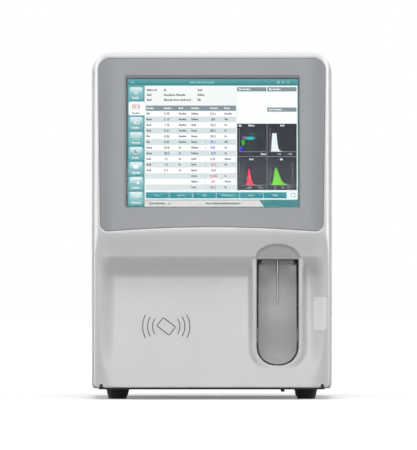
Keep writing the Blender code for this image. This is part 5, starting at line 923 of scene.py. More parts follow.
def broken_copy(name, node, width, segments=2, degrees=40):
    """A copy of a node's mesh, merged, with every sharp edge rounded."""
    copy = bpy.data.objects.new(name, NODES[node].data.copy())
    bpy.context.collection.objects.link(copy)
    form = bmesh.new()
    form.from_mesh(copy.data)
    bmesh.ops.remove_doubles(form, verts=form.verts, dist=1e-6)
    bmesh.ops.dissolve_limit(form, angle_limit=math.radians(1), verts=form.verts, edges=form.edges)
    form.to_mesh(copy.data)
    form.free()
    bevel = copy.modifiers.new("Edges", "BEVEL")
    bevel.width = width
    bevel.segments = segments
    bevel.limit_method = "ANGLE"
    bevel.angle_limit = math.radians(degrees)
    bevel.harden_normals = False
    depsgraph = bpy.context.evaluated_depsgraph_get()
    mesh = bpy.data.meshes.new_from_object(copy.evaluated_get(depsgraph))
    copy.modifiers.clear()
    copy.data = mesh
    return creased(copy, 35)


def place(thing, body, material, slot, *nodes):
    """Give a finished piece its finish, the body it rides on, and the nodes it stands for."""
    thing.data.materials.clear()
    thing.data.materials.append(material)
    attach(thing, body)
    if nodes:
        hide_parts(*nodes)
    return thing


def broken(node, width, material, slot, segments=2, degrees=40):
    """A node's copy with round edges, placed on the node's own body."""
    thing = broken_copy(node + "_finished", node, width, segments, degrees)
    return place(thing, NODES[node]["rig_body"], material, slot, node)


# The frame's slot for each finish
SLOTS = {"aluminium": "aluminium", "belt": "belt_rubber", "black": "black_plastic", "bright": "bright_steel",
         "circuit": "circuit_board", "clear": "clear_plastic", "painted": "painted_steel",
         "plated": "plated_steel"}


def broken_set(looks, *rows):
    """Several such copies: each row has the node, its edge's width in millimetres and its finish."""
    for node, width, finish, *segments in rows:
        broken(node, width * MM, looks[finish], SLOTS[finish], *segments)


def repaint(node, material):
    """A node whose shape stays, with a fuller finish."""
    thing = NODES[node]
    for part in thing.material_slots:
        part.material = material


# The lit picture, laid out in its own dots

PICTURE_DEPTH = 6.05 * MM
LAYER = 0.03 * MM
PICTURE_LEFT = -104.7 * MM
PICTURE_TOP = 399.2 * MM
DOTS_ACROSS = 800
DOTS_DOWN = 600
DOT = 212.4 * MM / DOTS_ACROSS

PAPER = (0.94, 0.95, 0.95)
WHITE = (1.0, 1.0, 1.0)
MIST = (0.86, 0.92, 0.93)
BAND = (0.70, 0.76, 0.78)
BAR_GREY = (0.25, 0.31, 0.34)
HEADER_TOP = (0.14, 0.42, 0.46)
HEADER_FOOT = (0.05, 0.24, 0.25)
TAB_TOP = (0.33, 0.62, 0.65)
TAB_FOOT = (0.17, 0.42, 0.44)
TAB_EDGE = (0.04, 0.24, 0.25)
BUTTON_TOP = (0.04, 0.33, 0.38)
BUTTON_FOOT = (0.015, 0.24, 0.28)
STRIP_GREY = (0.72, 0.70, 0.69)
INK = (0.09, 0.10, 0.11)
BLUE = (0.05, 0.05, 0.75)
RED = (0.82, 0.06, 0.10)
NIGHT = (0.045, 0.048, 0.062)
AXIS_GREY = (0.40, 0.42, 0.46)
CYAN = (0.05, 0.55, 0.50)
LEAF = (0.04, 0.55, 0.04)
VIOLET = (0.32, 0.08, 0.40)
PINK = (0.87, 0.07, 0.13)
LIME = (0.20, 0.70, 0.06)

HEADER = 28
TAB_LEFT, TAB_RIGHT = 4, 74
TAB_START, TAB_PITCH, TAB_HEIGHT = 35, 70.4, 64.5
PAGE_LEFT, PAGE_RIGHT = 79, 797
TABLE_LEFT, TABLE_RIGHT = 84, 508
TABLE_TOP, TABLE_HEAD = 124, 25
ROW_PITCH = 26.6
PANEL_LEFT, PANEL_RIGHT = 513, 793
PANEL_TOP, PANEL_FOOT_ROW = 209, 521
PANEL_MIDDLE = 653
PANEL_SPLIT = 363
BUTTON_ROW = (531, 560)
BUTTON_PITCH = 110.3
STATUS_ROW = (569, 599)

# The bars of each digit, from the top one clockwise, and the middle one
SEGMENTS = {"0": "abcdef", "1": "bc", "2": "abged", "3": "abgcd", "4": "fgbc", "5": "afgcd",
            "6": "afgedc", "7": "abc", "8": "abcdefg", "9": "abcdfg"}


class Picture:
    """Flat shapes in dots from the picture's top left corner, stacked in thin layers on the tilted screen."""

    def __init__(self):
        """No shapes yet."""
        self.quads = []
        self.colours = []

    def quad(self, corners, layer, *colours):
        """Four corners, in one colour or one colour for each."""
        self.quads.append([(x, y, layer) for x, y in corners])
        self.colours.append(colours if len(colours) == 4 else colours * 4)

    def box(self, left, top, right, foot, layer, colour, foot_colour=None):
        """A rectangle, which may shade from its top colour to its foot colour."""
        foot_colour = foot_colour or colour
        self.quad([(left, foot), (right, foot), (right, top), (left, top)], layer,
                  foot_colour, foot_colour, colour, colour)

    def frame(self, left, top, right, foot, layer, colour, line=1.5):
        """Four bars round a rectangle."""
        self.box(left, top, right, top + line, layer, colour)
        self.box(left, foot - line, right, foot, layer, colour)
        self.box(left, top, left + line, foot, layer, colour)
        self.box(right - line, top, right, foot, layer, colour)

    def strips(self, heights, lefts, rights, layer, colours):
        """A shape as flat strips between heights, each with its left and right ends."""
        for row in range(len(heights) - 1):
            self.quad([(lefts[row + 1], heights[row + 1]), (rights[row + 1], heights[row + 1]),
                       (rights[row], heights[row]), (lefts[row], heights[row])], layer,
                      colours[row + 1], colours[row + 1], colours[row], colours[row])

    def rounded(self, left, top, right, foot, radius, layer, colour, foot_colour=None):
        """A rectangle with round corners: its ends drawn in by a quarter round."""
        angles = np.radians([0, 30, 60, 90])
        ends = radius * (1 - np.sin(angles))
        steps = radius * (1 - np.cos(angles))
        draw = np.concatenate([ends, ends[::-1]])
        heights = np.concatenate([top + steps, (foot - steps)[::-1]])
        share = ((heights - top) / (foot - top))[:, None]
        colours = np.array(colour) * (1 - share) + np.array(foot_colour or colour) * share
        self.strips(heights, left + draw, right - draw, layer, [tuple(value) for value in colours])

    def disc(self, x, y, radius, layer, colour, rise=1.0):
        """A disc as strips, each as wide as the cosine of its angle."""
        angle = np.radians(np.linspace(-90, 90, 9))
        half = radius * np.cos(angle)
        self.strips(y + radius * rise * np.sin(angle), x - half, x + half, layer, [colour] * 9)

    def words(self, left, middle, counts, layer, colour, size=1.0):
        """Greeked words, which say nothing: one small block for each letter, some of them taller."""
        for count in counts:
            for letter in range(count):
                tall = 1.5 if letter == 0 or (letter * 7 + count) % 5 == 0 else 1.0
                foot = middle + 4 * size
                self.box(left, foot - 6.4 * size * tall, left + 4.2 * size, foot, layer, colour)
                left += 5.4 * size
            left += 4 * size

    def number(self, left, middle, text, layer, colour, height=11, width=5.6, line=2):
        """Digits built from bars, as on a seven-bar display."""
        top, foot = middle - height / 2, middle + height / 2
        for mark in text:
            if mark == ".":
                self.box(left, foot - line, left + line, foot, layer, colour)
                left += line + 1.4
                continue
            right = left + width
            bars = {"a": (left, top, right, top + line), "d": (left, foot - line, right, foot),
                    "g": (left, middle - line / 2, right, middle + line / 2),
                    "f": (left, top, left + line, middle), "e": (left, middle, left + line, foot),
                    "b": (right - line, top, right, middle), "c": (right - line, middle, right, foot)}
            for bar in SEGMENTS[mark]:
                self.box(*bars[bar], layer, colour)
            left = right + 1.8
        return left

    def made(self, name):
        """One mesh: dots across and down the tilted plane, layers coming forward."""
        corners = np.array(self.quads, float)
        x = PICTURE_LEFT + corners[..., 0] * DOT
        z = PICTURE_TOP - corners[..., 1] * DOT
        offset = PICTURE_DEPTH - corners[..., 2] * LAYER
        y = FRONT + screen_depth(z) - FRONT_SET + offset
        points = np.stack([x, y, z], axis=-1).reshape(-1, 3)
        thing = mesh_piece(name, points, [np.arange(len(points)).reshape(-1, 4)])
        colours = thing.data.color_attributes.new("picture_colour", "FLOAT_COLOR", "POINT")
        values = np.ones((len(points), 4), np.float32)
        values[:, :3] = np.array(self.colours, np.float32).reshape(-1, 3)
        colours.data.foreach_set("color", values.ravel())
        return thing


def header(page):
    """The bar across the top: a shaded band with a small mark, a title and the time."""
    page.box(0, 0, DOTS_ACROSS, HEADER, 2, HEADER_TOP, HEADER_FOOT)
    page.frame(16, 8, 27, 19, 3, TAB_TOP, 2)
    page.words(292, 15, (6, 8, 7), 3, TAB_TOP, 0.95)
    for left, value in ((700, "08"), (722, "36"), (744, "15")):
        page.number(left, 14, value, 3, TAB_TOP)


PATIENT_ROWS = (((6, 2), (2,), (4,)), ((4,), (10, 8), (6,)), ((4,), (8, 5, 9), (3,)))


def patient_rows(page):
    """Three rows of a label, its value, and a second label."""
    for row, columns in enumerate(PATIENT_ROWS):
        for left, counts in zip((90, 170, 328), columns):
            page.words(left, 51 + 23.3 * row, counts, 2, INK)


def message_boxes(page):
    """Three white boxes, each under a grey bar."""
    page.box(PANEL_LEFT, 37, 792, PANEL_TOP, 2, WHITE)
    page.box(652, 37, 654, PANEL_TOP, 3, MIST)
    for left, right, top, counts in ((PANEL_LEFT, 651, 37.5, (3, 7)), (655, 792, 37.5, (3, 7)),
                                     (655, 792, 133, (4, 7))):
        page.box(left, top, right, top + 20, 4, BAR_GREY, BAR_GREY)
        page.words(left + 8, top + 10, counts, 5, MIST, 0.95)


NAME_COUNTS = (3, 5, 4, 4, 3, 3, 5, 5, 4, 4, 4, 3, 5, 5)
VALUES = ("5.49", "2.13", "1.79", "0.57", "0.86", "0.05", "59.8", "28.3", "7.6", "1.4", "0.4")
SECOND_VALUES = ("5.01", "138", "40.2", "88.2", "30.5", "29.1", "346", "13.4", "218", "10.6", "16.0", "0.286",
                 "128", "46.4")
SECOND_UNITS = (7, 3, 2, 2, 2, 3, 2, 2, 6, 2, 0, 2, 6, 2)
MARKED = {5: BLUE, 6: BLUE, 9: RED, 11: RED, 12: RED}


def table_of_results(page):
    """A bar of headings over fourteen banded rows: names, values and units twice over."""
    page.box(TABLE_LEFT, TABLE_TOP, TABLE_RIGHT, TABLE_TOP + TABLE_HEAD, 3, BAR_GREY)
    for left, count in ((88, 7), (170, 7), (240, 4), (299, 7), (387, 7), (454, 5)):
        page.words(left, TABLE_TOP + TABLE_HEAD / 2, (count,), 4, MIST, 0.95)
    for row in range(14):
        top = TABLE_TOP + TABLE_HEAD + ROW_PITCH * row
        page.box(TABLE_LEFT, top, TABLE_RIGHT, top + ROW_PITCH, 2, BAND if row % 2 else WHITE)
        middle = top + ROW_PITCH / 2
        if row < len(VALUES):
            page.words(88, middle, (NAME_COUNTS[row],), 3, INK)
            page.number(171, middle, VALUES[row], 3, INK)
            page.words(240, middle, (7,) if row < 6 else (2,), 3, INK, 0.95)
        colour = MARKED.get(row, INK)
        page.words(299, middle, (NAME_COUNTS[-1 - row] + 1,), 3, INK)
        page.number(388, middle, SECOND_VALUES[row], 3, colour)
        if row in MARKED:
            page.box(365, middle - 5, 366.6, middle + 5, 3, colour if colour == RED else INK)
        page.words(455, middle, (SECOND_UNITS[row],), 3, INK, 0.95)


def axes(page, left, right, top, foot):
    """The two axes of a plot."""
    page.box(left, top, left + 1.3, foot, 5, AXIS_GREY)
    page.box(left, foot, right, foot + 1.6, 5, AXIS_GREY)


def curve(page, left, right, foot, heights, colour):
    """A filled curve as upright strips."""
    edges = np.linspace(left, right, len(heights))
    for here, after, low, high in zip(edges, edges[1:], heights, heights[1:]):
        page.quad([(here, foot), (after, foot), (after, foot - high), (here, foot - low)], 6, colour)


def hump(share, start, crest, end, height):
    """A lopsided bell: one width before its crest and another after it."""
    width = np.where(share < crest, (crest - start) / 2, (end - crest) / 2)
    return height * np.exp(-((share - crest) / width) ** 2)


def plots(page):
    """A scatter plot and three histograms on a dark panel, in two rows and two columns."""
    page.box(PANEL_LEFT, PANEL_TOP, PANEL_RIGHT, PANEL_FOOT_ROW, 3, NIGHT)
    page.box(PANEL_MIDDLE, PANEL_TOP, PANEL_MIDDLE + 1.6, PANEL_FOOT_ROW, 4, AXIS_GREY)
    page.box(PANEL_LEFT, PANEL_SPLIT, PANEL_RIGHT, PANEL_SPLIT + 1.6, 4, AXIS_GREY)
    for left, right in ((523, 648), (667, 788)):
        axes(page, left, right, 231, 340)
        axes(page, left, right, 388, 497)
    for left, middle, counts in ((566, 218, (6,)), (521, 219, (3,)), (716, 218, (4,)), (571, 377, (4,)),
                                 (715, 377, (3,)), (625, 352, (5,))):
        page.words(left, middle, counts, 5, MIST, 0.9)
    for left, middle, value in ((701, 352, "100"), (754, 352, "200"), (564, 509, "200"), (613, 509, "400"),
                                (686, 509, "10"), (721, 509, "20"), (750, 509, "30")):
        page.number(left, middle, value, 5, BAND, 7.5, 4.4, 1.1)
    page.box(539, 388, 540, 497, 5, AXIS_GREY)
    page.box(773, 388, 774, 497, 5, AXIS_GREY)
    random = np.random.default_rng(7)
    clouds = ((574, 278, 11, 3.4, CYAN, 340), (545, 273, 3.6, 2.6, VIOLET, 90),
              (541, 297, 3.6, 5.4, LEAF, 220), (533, 328, 4, 4, BLUE, 170),
              (600, 262, 24, 16, CYAN, 30), (556, 310, 18, 14, LEAF, 26))
    for x, y, wide, tall, colour, count in clouds:
        for u, v in random.normal((x, y), (wide, tall), (count, 2)):
            if 526 < u < 646 and 232 < v < 338:
                page.box(u - 1, v - 1, u + 1, v + 1, 6, colour)
    share = np.linspace(0, 1, 49)
    falling = 86 * np.exp(-np.maximum(share - 0.25, 0) * 22) * (share >= 0.25)
    block = np.clip((share - 0.04) / 0.04, 0, 1) * (86 * (share < 0.25) + falling)
    curve(page, 668, 788, 340, block, MIST)
    curve(page, 523, 648, 497, hump(share, 0.24, 0.365, 0.52, 78) + hump(share, 0.3, 0.45, 0.68, 9), PINK)
    curve(page, 668, 788, 497, hump(share, 0.04, 0.22, 0.58, 82) + hump(share, 0.3, 0.5, 0.8, 6), LIME)


PICTOGRAM = 38


def pictogram(page, number, middle, tone):
    """One simple sign for each tab: a flask, a report, a sheet, a grid, a dial, a cup, a gear and a door."""
    x = PICTOGRAM
    if number == 0:
        page.strips([middle - 14, middle - 4, middle + 10, middle + 12], [x - 3, x - 3, x - 11, x - 9],
                    [x + 3, x + 3, x + 11, x + 9], 5, [tone] * 4)
    elif number == 1:
        page.frame(x - 17, middle - 12, x + 17, middle + 12, 5, RED, 2)
        page.words(x - 12, middle, (3, 2), 5, BAR_GREY)
    elif number == 2:
        page.box(x - 12, middle - 12, x + 6, middle + 10, 5, tone)
        page.disc(x + 8, middle + 4, 9, 6, MIST)
        page.disc(x + 8, middle + 4, 5, 7, TAB_FOOT)
    elif number == 3:
        for step in range(4):
            page.box(x - 14, middle - 12 + 8 * step, x + 14, middle - 10.6 + 8 * step, 5, tone)
            page.box(x - 14 + 9 * step, middle - 12, x - 12.6 + 9 * step, middle + 13, 5, tone)
    elif number == 4:
        page.disc(x, middle, 13, 5, tone)
        page.disc(x, middle, 9, 6, BAR_GREY)
        page.box(x - 1, middle - 9, x + 8, middle, 7, tone)
    elif number == 5:
        page.strips([middle - 9, middle + 4, middle + 11], [x - 14, x - 12, x - 6],
                    [x + 14, x + 12, x + 6], 5, [WHITE, MIST, tone])
    elif number == 6:
        page.disc(x - 5, middle - 3, 9, 5, tone)
        page.disc(x - 5, middle - 3, 4, 6, TAB_FOOT)
        page.disc(x + 9, middle + 6, 6, 5, MIST)
    else:
        page.frame(x - 10, middle - 13, x + 6, middle + 12, 5, tone, 2.5)
        page.box(x - 2, middle - 1.5, x + 15, middle + 1.5, 6, WHITE)


def left_tabs(page):
    """Eight round-cornered tabs down the left, the second one chosen and open to the page."""
    page.box(0, HEADER, PAGE_LEFT, DOTS_DOWN, 1, HEADER_TOP, HEADER_FOOT)
    for number in range(8):
        top = TAB_START + TAB_PITCH * number
        foot = top + TAB_HEIGHT
        middle = top + 24
        if number == 1:
            page.rounded(TAB_LEFT, top, PAGE_LEFT + 6, foot, 9, 3, WHITE)
            pictogram(page, number, middle, INK)
            page.words(22, foot - 10, (7,), 5, HEADER_FOOT, 0.9)
            continue
        page.rounded(TAB_LEFT - 1.5, top - 1.5, TAB_RIGHT + 1.5, foot + 1.5, 10, 2, TAB_EDGE)
        page.rounded(TAB_LEFT, top, TAB_RIGHT, foot, 9, 3, TAB_TOP, TAB_FOOT)
        page.rounded(TAB_LEFT + 8, top + 3, TAB_RIGHT - 8, top + TAB_HEIGHT * 0.45, 6, 4, MIST, TAB_TOP)
        pictogram(page, number, middle, BAND)
        page.words(20, foot - 12, (7 + number % 2,), 5, MIST, 0.9)


def foot_rows(page):
    """Six buttons in a row and a small square one, over a status strip with a slanted end."""
    top, foot = BUTTON_ROW
    for number, count in enumerate((5, 7, 4, 11, 5, 5)):
        left = 85 + BUTTON_PITCH * number
        page.box(left, top, left + BUTTON_PITCH - 2, foot, 2, BUTTON_TOP, BUTTON_FOOT)
        page.words(left + BUTTON_PITCH / 2 - 2.6 * count, (top + foot) / 2, (count,), 3, TAB_TOP)
    page.rounded(762, top, 790, foot, 5, 2, WHITE)
    page.frame(766, top + 5, 786, foot - 5, 3, BUTTON_TOP, 2.4)
    top, foot = STATUS_ROW
    page.box(PAGE_LEFT, top, DOTS_ACROSS, foot, 2, HEADER_FOOT, TAB_EDGE)
    page.quad([(PAGE_LEFT, foot), (640, foot), (617, top), (PAGE_LEFT, top)], 3, STRIP_GREY)
    page.words(101, 584, (5, 8), 4, INK)
    page.number(188, 584, "12", 4, INK)
    page.words(367, 584, (5, 6, 9, 8), 4, INK)


def make_picture():
    """The results page: header, tabs, patient rows, table, message boxes, plots, buttons and status strip."""
    page = Picture()
    page.box(-1, -1, DOTS_ACROSS + 1, DOTS_DOWN + 1, 0, HEADER_FOOT)
    page.box(PAGE_LEFT, HEADER + 2, PAGE_RIGHT, STATUS_ROW[0] - 3, 1, PAPER, MIST)
    header(page)
    left_tabs(page)
    patient_rows(page)
    message_boxes(page)
    table_of_results(page)
    plots(page)
    foot_rows(page)
    return page.made("screen_picture")


# Card symbol, label and other marks on the panel

def panel_y(x, z, proud):
    """The Y of a point on the cover's skin, standing proud by a hair."""
    return FRONT + panel_depth(x, z) - FRONT_SET - proud


def ribbon_on_panel(line, width):
    """A thin stroke along a line of points on the front, as the two edges of a band."""
    line = np.asarray(line, float)
    along = np.gradient(line, axis=0)
    along /= np.linalg.norm(along, axis=1)[:, None]
    side = np.stack([-along[:, 1], along[:, 0]], axis=-1) * width / 2
    return np.stack([line - side, line + side], axis=0)


def strokes_piece(name, lines, width, proud=0.12 * MM):
    """Printed strokes on the panel, each one a band with a little thickness."""
    points, faces, first = [], [], 0
    for line in lines:
        edges = ribbon_on_panel(line, width)
        count = edges.shape[1]
        x, z = edges[..., 0], edges[..., 1]
        front = np.stack([x, panel_y(x, z, proud), z], axis=-1)
        back = front + (0, proud + 0.05 * MM, 0)
        grid = np.stack([front[0], front[1], back[1], back[0]], axis=0)
        points.append(grid.reshape(-1, 3))
        faces.append(grid_faces(4, count, first, round_rows=True))
        for end in (0, count - 1):
            faces.append(np.array([[first + end, first + count + end, first + 2 * count + end,
                                    first + 3 * count + end]]))
        first += 4 * count
    return outward(mesh_piece(name, np.concatenate(points), faces))


CARD_X = -56.8 * MM
CARD_Z = 91 * MM
CARD_HALF_WIDTH = 9.7 * MM
CARD_HALF_HEIGHT = 6.5 * MM
CARD_TILT = math.radians(-37.6)


def card_symbol():
    """The contactless card sign: a tilted round-cornered card with three arcs on either side."""
    card = rounded_outline(-CARD_HALF_WIDTH, CARD_HALF_WIDTH, -CARD_HALF_HEIGHT, CARD_HALF_HEIGHT,
                           1.6 * MM, 6)
    card = np.concatenate([card, card[:1]])
    turn = np.array([[math.cos(CARD_TILT), math.sin(CARD_TILT)], [-math.sin(CARD_TILT), math.cos(CARD_TILT)]])
    lines = [card @ turn + (CARD_X, CARD_Z)]
    for number in range(3):
        radius = (17 + 6.2 * number) * MM
        spread = 34.5 - 2.5 * number
        for middle in (0, 180):
            lines.append(arc((CARD_X, CARD_Z), radius, middle - spread, middle + spread, 24))
    return strokes_piece("card_sign", lines, 1.25 * MM)


LABEL_LEFT, LABEL_RIGHT = 127.2 * MM, 143.4 * MM
LABEL_LOW, LABEL_HIGH = 86.7 * MM, 127.7 * MM


def blank_label():
    """The pale label at the right, blank, following the curve of the cover's side."""
    u = np.linspace(LABEL_LEFT, LABEL_RIGHT, 18)[None]
    v = np.linspace(LABEL_LOW, LABEL_HIGH, 14)[:, None]
    radius = 1.5 * MM
    across = np.maximum(np.abs(v - (LABEL_LOW + LABEL_HIGH) / 2) - (LABEL_HIGH - LABEL_LOW) / 2 + radius, 0)
    draw = radius - np.sqrt(np.maximum(radius ** 2 - across ** 2, 0))
    middle = (LABEL_LEFT + LABEL_RIGHT) / 2
    x = middle + (u - middle) * (1 - draw / (LABEL_RIGHT - LABEL_LEFT) * 2)
    z = v + 0 * x
    skin_y = panel_y(x, z, 0) + rim_depth(x, z, 0)
    front = np.stack([x, skin_y - 0.16 * MM, z], axis=-1)
    back = np.stack([x, skin_y + 0.05 * MM, z], axis=-1)
    return two_skins("side_label", front, back)


# Turned pieces

def make_foot(name, centre):
    """A rubber foot: tapered, with a rounded lip, a ringed sole and a recess for its screw."""
    profile = np.array([(0, 12.7), (14.4, 12.7), (11, 0), (8.2, 0), (7.6, 0.7), (6.4, 0.7),
                        (5.8, 0.1), (3.4, 0.1), (3.2, 5), (0, 5)]) * MM
    return turned(name, "Z", centre, rounded_corner(profile, 0.9 * MM), 56)


def make_probe(name):
    """The steel needle: a bevelled tip, a plain stem, a stepped hub and a tubing barb at its top."""
    tip, hub, top = 118 * MM, 231.3 * MM, 242 * MM
    profile = [(0, tip), (0.3 * MM, tip), (0.8 * MM, tip + 2.6 * MM), (0.8 * MM, hub), (2.5 * MM, hub),
               (2.5 * MM, hub + 2 * MM), (2.1 * MM, hub + 2.3 * MM), (2.1 * MM, hub + 4.7 * MM),
               (2.5 * MM, hub + 5 * MM), (0.8 * MM, hub + 5.4 * MM), (0.8 * MM, top - 3 * MM),
               (1.1 * MM, top - 2.4 * MM), (0.8 * MM, top), (0, top)]
    return turned(name, "Z", (BAY_X, FRONT + PROBE_DEPTH), rounded_corner(profile, 0.25 * MM, 3), 40)


def make_spout(name):
    """The bay's black drain nipple, with a rounded mouth and a barb."""
    low = 9.3 * MM
    profile = [(1.2 * MM, 18.3 * MM), (1.2 * MM, low + 0.3 * MM), (1.5 * MM, low), (2.2 * MM, low),
               (2.5 * MM, low + 0.5 * MM), (2.5 * MM, low + 1.6 * MM), (2.2 * MM, low + 2 * MM),
               (2.5 * MM, low + 2.6 * MM), (2.5 * MM, 16.3 * MM), (4.5 * MM, 16.3 * MM),
               (4.5 * MM, 18.3 * MM)]
    return turned(name, "Z", (SPOUT_X, FRONT + SPOUT_DEPTH), profile, 36)


# Housing sheets with round edges

REAR_DEPTH = 388 * MM


def make_top_cover():
    """The arched top: a section across the body carried backwards, its front and back edges rolled."""
    half, high, skirt = 150 * MM, 432 * MM, 405 * MM
    radius, wall = 24 * MM, 3 * MM
    front, back = FRONT + COVER_BACK + GAP, FRONT + REAR_DEPTH
    round_edge = 0.9 * MM
    sections = []
    depths = []
    sweep = np.linspace(0, 90, 7)
    for angle in sweep:
        sections.append(round_edge * (1 - math.sin(math.radians(angle))))
        depths.append(front + round_edge * (1 - math.cos(math.radians(angle))))
    for share in np.linspace(0, 1, 20)[1:-1]:
        sections.append(0)
        depths.append(front + round_edge + (back - front - 2 * round_edge) * share)
    for angle in sweep[::-1]:
        sections.append(round_edge * (1 - math.sin(math.radians(angle))))
        depths.append(back - round_edge * (1 - math.cos(math.radians(angle))))
    rows = []
    for inset, y in zip(sections, depths):
        outer = np.concatenate([[[half - inset, skirt]],
                                arc((half - radius, high - radius), radius - inset, 0, 90, 20),
                                arc((radius - half, high - radius), radius - inset, 90, 180, 20),
                                [[inset - half, skirt]]])
        inner = np.concatenate([[[wall - half, skirt]],
                                arc((radius - half, high - radius), radius - wall, 180, 90, 20),
                                arc((half - radius, high - radius), radius - wall, 90, 0, 20),
                                [[half - wall, skirt]]])
        loop = np.concatenate([outer, inner])
        rows.append(np.stack([loop[:, 0], np.full(len(loop), y), loop[:, 1]], axis=-1))
    grid = np.stack(rows)
    count = grid.shape[1]
    faces = [grid_faces(len(rows), count, round_columns=True)]
    side = count // 2
    for row in (0, len(rows) - 1):
        here = row * count + np.arange(side - 1)
        other = row * count + count - 1 - np.arange(side - 1)
        faces.append(np.stack([here, here + 1, other - 1, other], axis=-1))
    arch = outward(mesh_piece("arch", grid, faces))
    hinge_x, hinge_y = 145.5 * MM, FRONT + 384 * MM
    tab = slab("tab", (hinge_x - 3.8 * MM, hinge_y - 3.8 * MM, skirt + 0.01 * MM),
               (148.5 * MM, FRONT + REAR_DEPTH, skirt + 6 * MM))
    pin = prism("pin", "Z", circle((hinge_x, hinge_y), 1.8 * MM, 24), skirt - 8 * MM, skirt + 3 * MM)
    arch = worked(arch, "UNION", tab, pin)
    arch.name = "top_shell"
    return creased(arch, 35)


def pan_head(name, centre, axis, sign, radius=3.2 * MM):
    """A pan-head screw: a domed head with a cross recess, standing out along an axis."""
    height = radius * 0.62
    u, v, w = centre
    profile = [(0, w), (radius, w), (radius, w + sign * height * 0.35),
               (radius * 0.86, w + sign * height * 0.75), (radius * 0.5, w + sign * height * 0.97),
               (0, w + sign * height)]
    head = turned(name, axis, (u, v), rounded_corner(profile, radius * 0.16, 3), 28)
    for length, width in ((radius * 1.05, radius * 0.26), (radius * 0.26, radius * 1.05)):
        arm = rounded_outline(u - length / 2, u + length / 2, v - width / 2, v + width / 2, radius * 0.06, 2)
        cutter = prism("recess", axis, arm, w + sign * height * 0.35, w + sign * height * 1.4)
        head = worked(head, "DIFFERENCE", cutter)
    head.name = name
    return creased(head, 35)


# Screws on the back: places across and up, in millimetres where they are listed
PANEL_SCREWS = ((-132, 30), (-132, 215), (-132, 385), (128, 30), (128, 215), (126, 395), (0, 420),
                (-50, 420), (50, 420))
FAN_X = -75 * MM
FAN_Z = 300 * MM
FAN_SCREW = 35.7 * MM
PLATE_SCREWS_X = (14, 126)
PLATE_SCREWS_Z = (58, 82)
PLATE_PROUD = 2.3 * MM
INLET_X = -100 * MM
INLET_Z = 52 * MM
INLET_SCREW = 15.6 * MM
INLET_PROUD = 3.3 * MM
INLET_SINK = 0.3 * MM


def screws_at(places, depth, radius):
    """Pan-head screws on the back, at places across and up."""
    return [pan_head("screw", (x, z, depth), "Y", 1, radius) for x, z in places]


def joined(name, things):
    """Several finished pieces as one mesh."""
    points, faces, first = [], [], 0
    for thing in things:
        mesh = thing.data
        block = np.empty(len(mesh.vertices) * 3)
        mesh.vertices.foreach_get("co", block)
        points.append(block.reshape(-1, 3))
        faces.extend([[first + index for index in face.vertices] for face in mesh.polygons])
        first += len(mesh.vertices)
        bpy.data.objects.remove(thing)
    mesh = bpy.data.meshes.new(name)
    mesh.from_pydata(np.concatenate(points).tolist(), [], faces)
    mesh.update()
    thing = bpy.data.objects.new(name, mesh)
    bpy.context.collection.objects.link(thing)
    return creased(thing, 35)


# Materials of this object

def paint_shade_on_key_top(material):
    """Darken the key's plastic towards its top: painted shade, standing in for the shadow under the hood."""
    tree = material.node_tree
    shader = tree.nodes["Principled BSDF"]
    colour = shader.inputs["Base Color"].links[0].from_socket
    height = add(tree, "SeparateXYZ", {"Vector": add(tree, "TexCoord").outputs["Object"]}).outputs["Z"]
    # painted shade: the base colour darkens towards the key's top, where the hood's shadow falls
    dark = ramp(tree, height, 138 * MM, 170 * MM, 0.0, 0.72)
    tree.links.new(mixed(tree, dark, colour, (0.01, 0.01, 0.01)), shader.inputs["Base Color"])
    return material


def make_materials():
    """Every finish, by name."""
    GROUPS.update(tone=tone_group(), edge=edge_group(), moulded=moulded_group(), drawn=drawn_group())
    looks = {
        "white": plastic("white_housing_plastic", (0.74, 0.74, 0.742), 0.36, strength=0.06,
                         worn=(0.87, 0.88, 0.89), wear=0.4, dust=0.08, drift=0.012, mottle=0.006,
                         uneven=0.04),
        "surround": plastic("grey_screen_surround", (0.36, 0.372, 0.39), 0.40, strength=0.10,
                            worn=(0.5, 0.51, 0.52), wear=0.35, dust=0.05, drift=0.015, mottle=0.012),
        "key": plastic("grey_key_plastic", (0.42, 0.42, 0.42), 0.3, grain=700, strength=0.03,
                       worn=(0.58, 0.58, 0.58), wear=0.4, dust=0.0, drift=0.005, mottle=0.004),
        "rubber": plastic("black_rubber", (0.018, 0.018, 0.02), 0.7, grain=500, strength=0.25, dust=0.25,
                          worn=(0.06, 0.06, 0.06), specular=0.35),
        "black": plastic("black_plastic", (0.022, 0.022, 0.025), 0.42, strength=0.15, dust=0.2,
                         worn=(0.09, 0.09, 0.1), specular=0.45),
        "painted": plastic("powder_coated_steel", (0.74, 0.76, 0.78), 0.45, grain=1400, strength=0.22,
                           dust=0.12, drift=0.015, worn=(0.86, 0.86, 0.86)),
        "belt": plastic("belt_rubber", (0.02, 0.02, 0.02), 0.8, grain=300, strength=0.4, specular=0.3),
        "print": plastic("dark_printing", (0.11, 0.11, 0.11), 0.5, grain=1600, strength=0.05, dust=0.0),
        "label": plastic("blank_label_film", (0.95, 0.95, 0.95), 0.32, grain=1200, strength=0.03, dust=0.0,
                         drift=0.02),
        "plated": metal("zinc_plated_steel", (0.60, 0.61, 0.60), 0.34, worn=(0.72, 0.72, 0.71)),
        "bright": metal("ground_steel", (0.78, 0.78, 0.79), 0.16, stretch=(8, 8, 200), strength=0.05,
                        uneven=0.04),
        "needle": metal("needle_steel", (0.42, 0.42, 0.43), 0.34, stretch=(8, 8, 200), strength=0.05,
                        uneven=0.04),
        "aluminium": metal("machined_aluminium", (0.68, 0.69, 0.70), 0.36, stretch=(10, 160, 10),
                           strength=0.1),
        "circuit": circuit_material(),
        "clear": clear_material(),
        "glass": glass_material(),
        "picture": picture_material(),
    }
    # painted shade on the key's top, for the shadow under the hood
    paint_shade_on_key_top(looks["key"])
    return looks


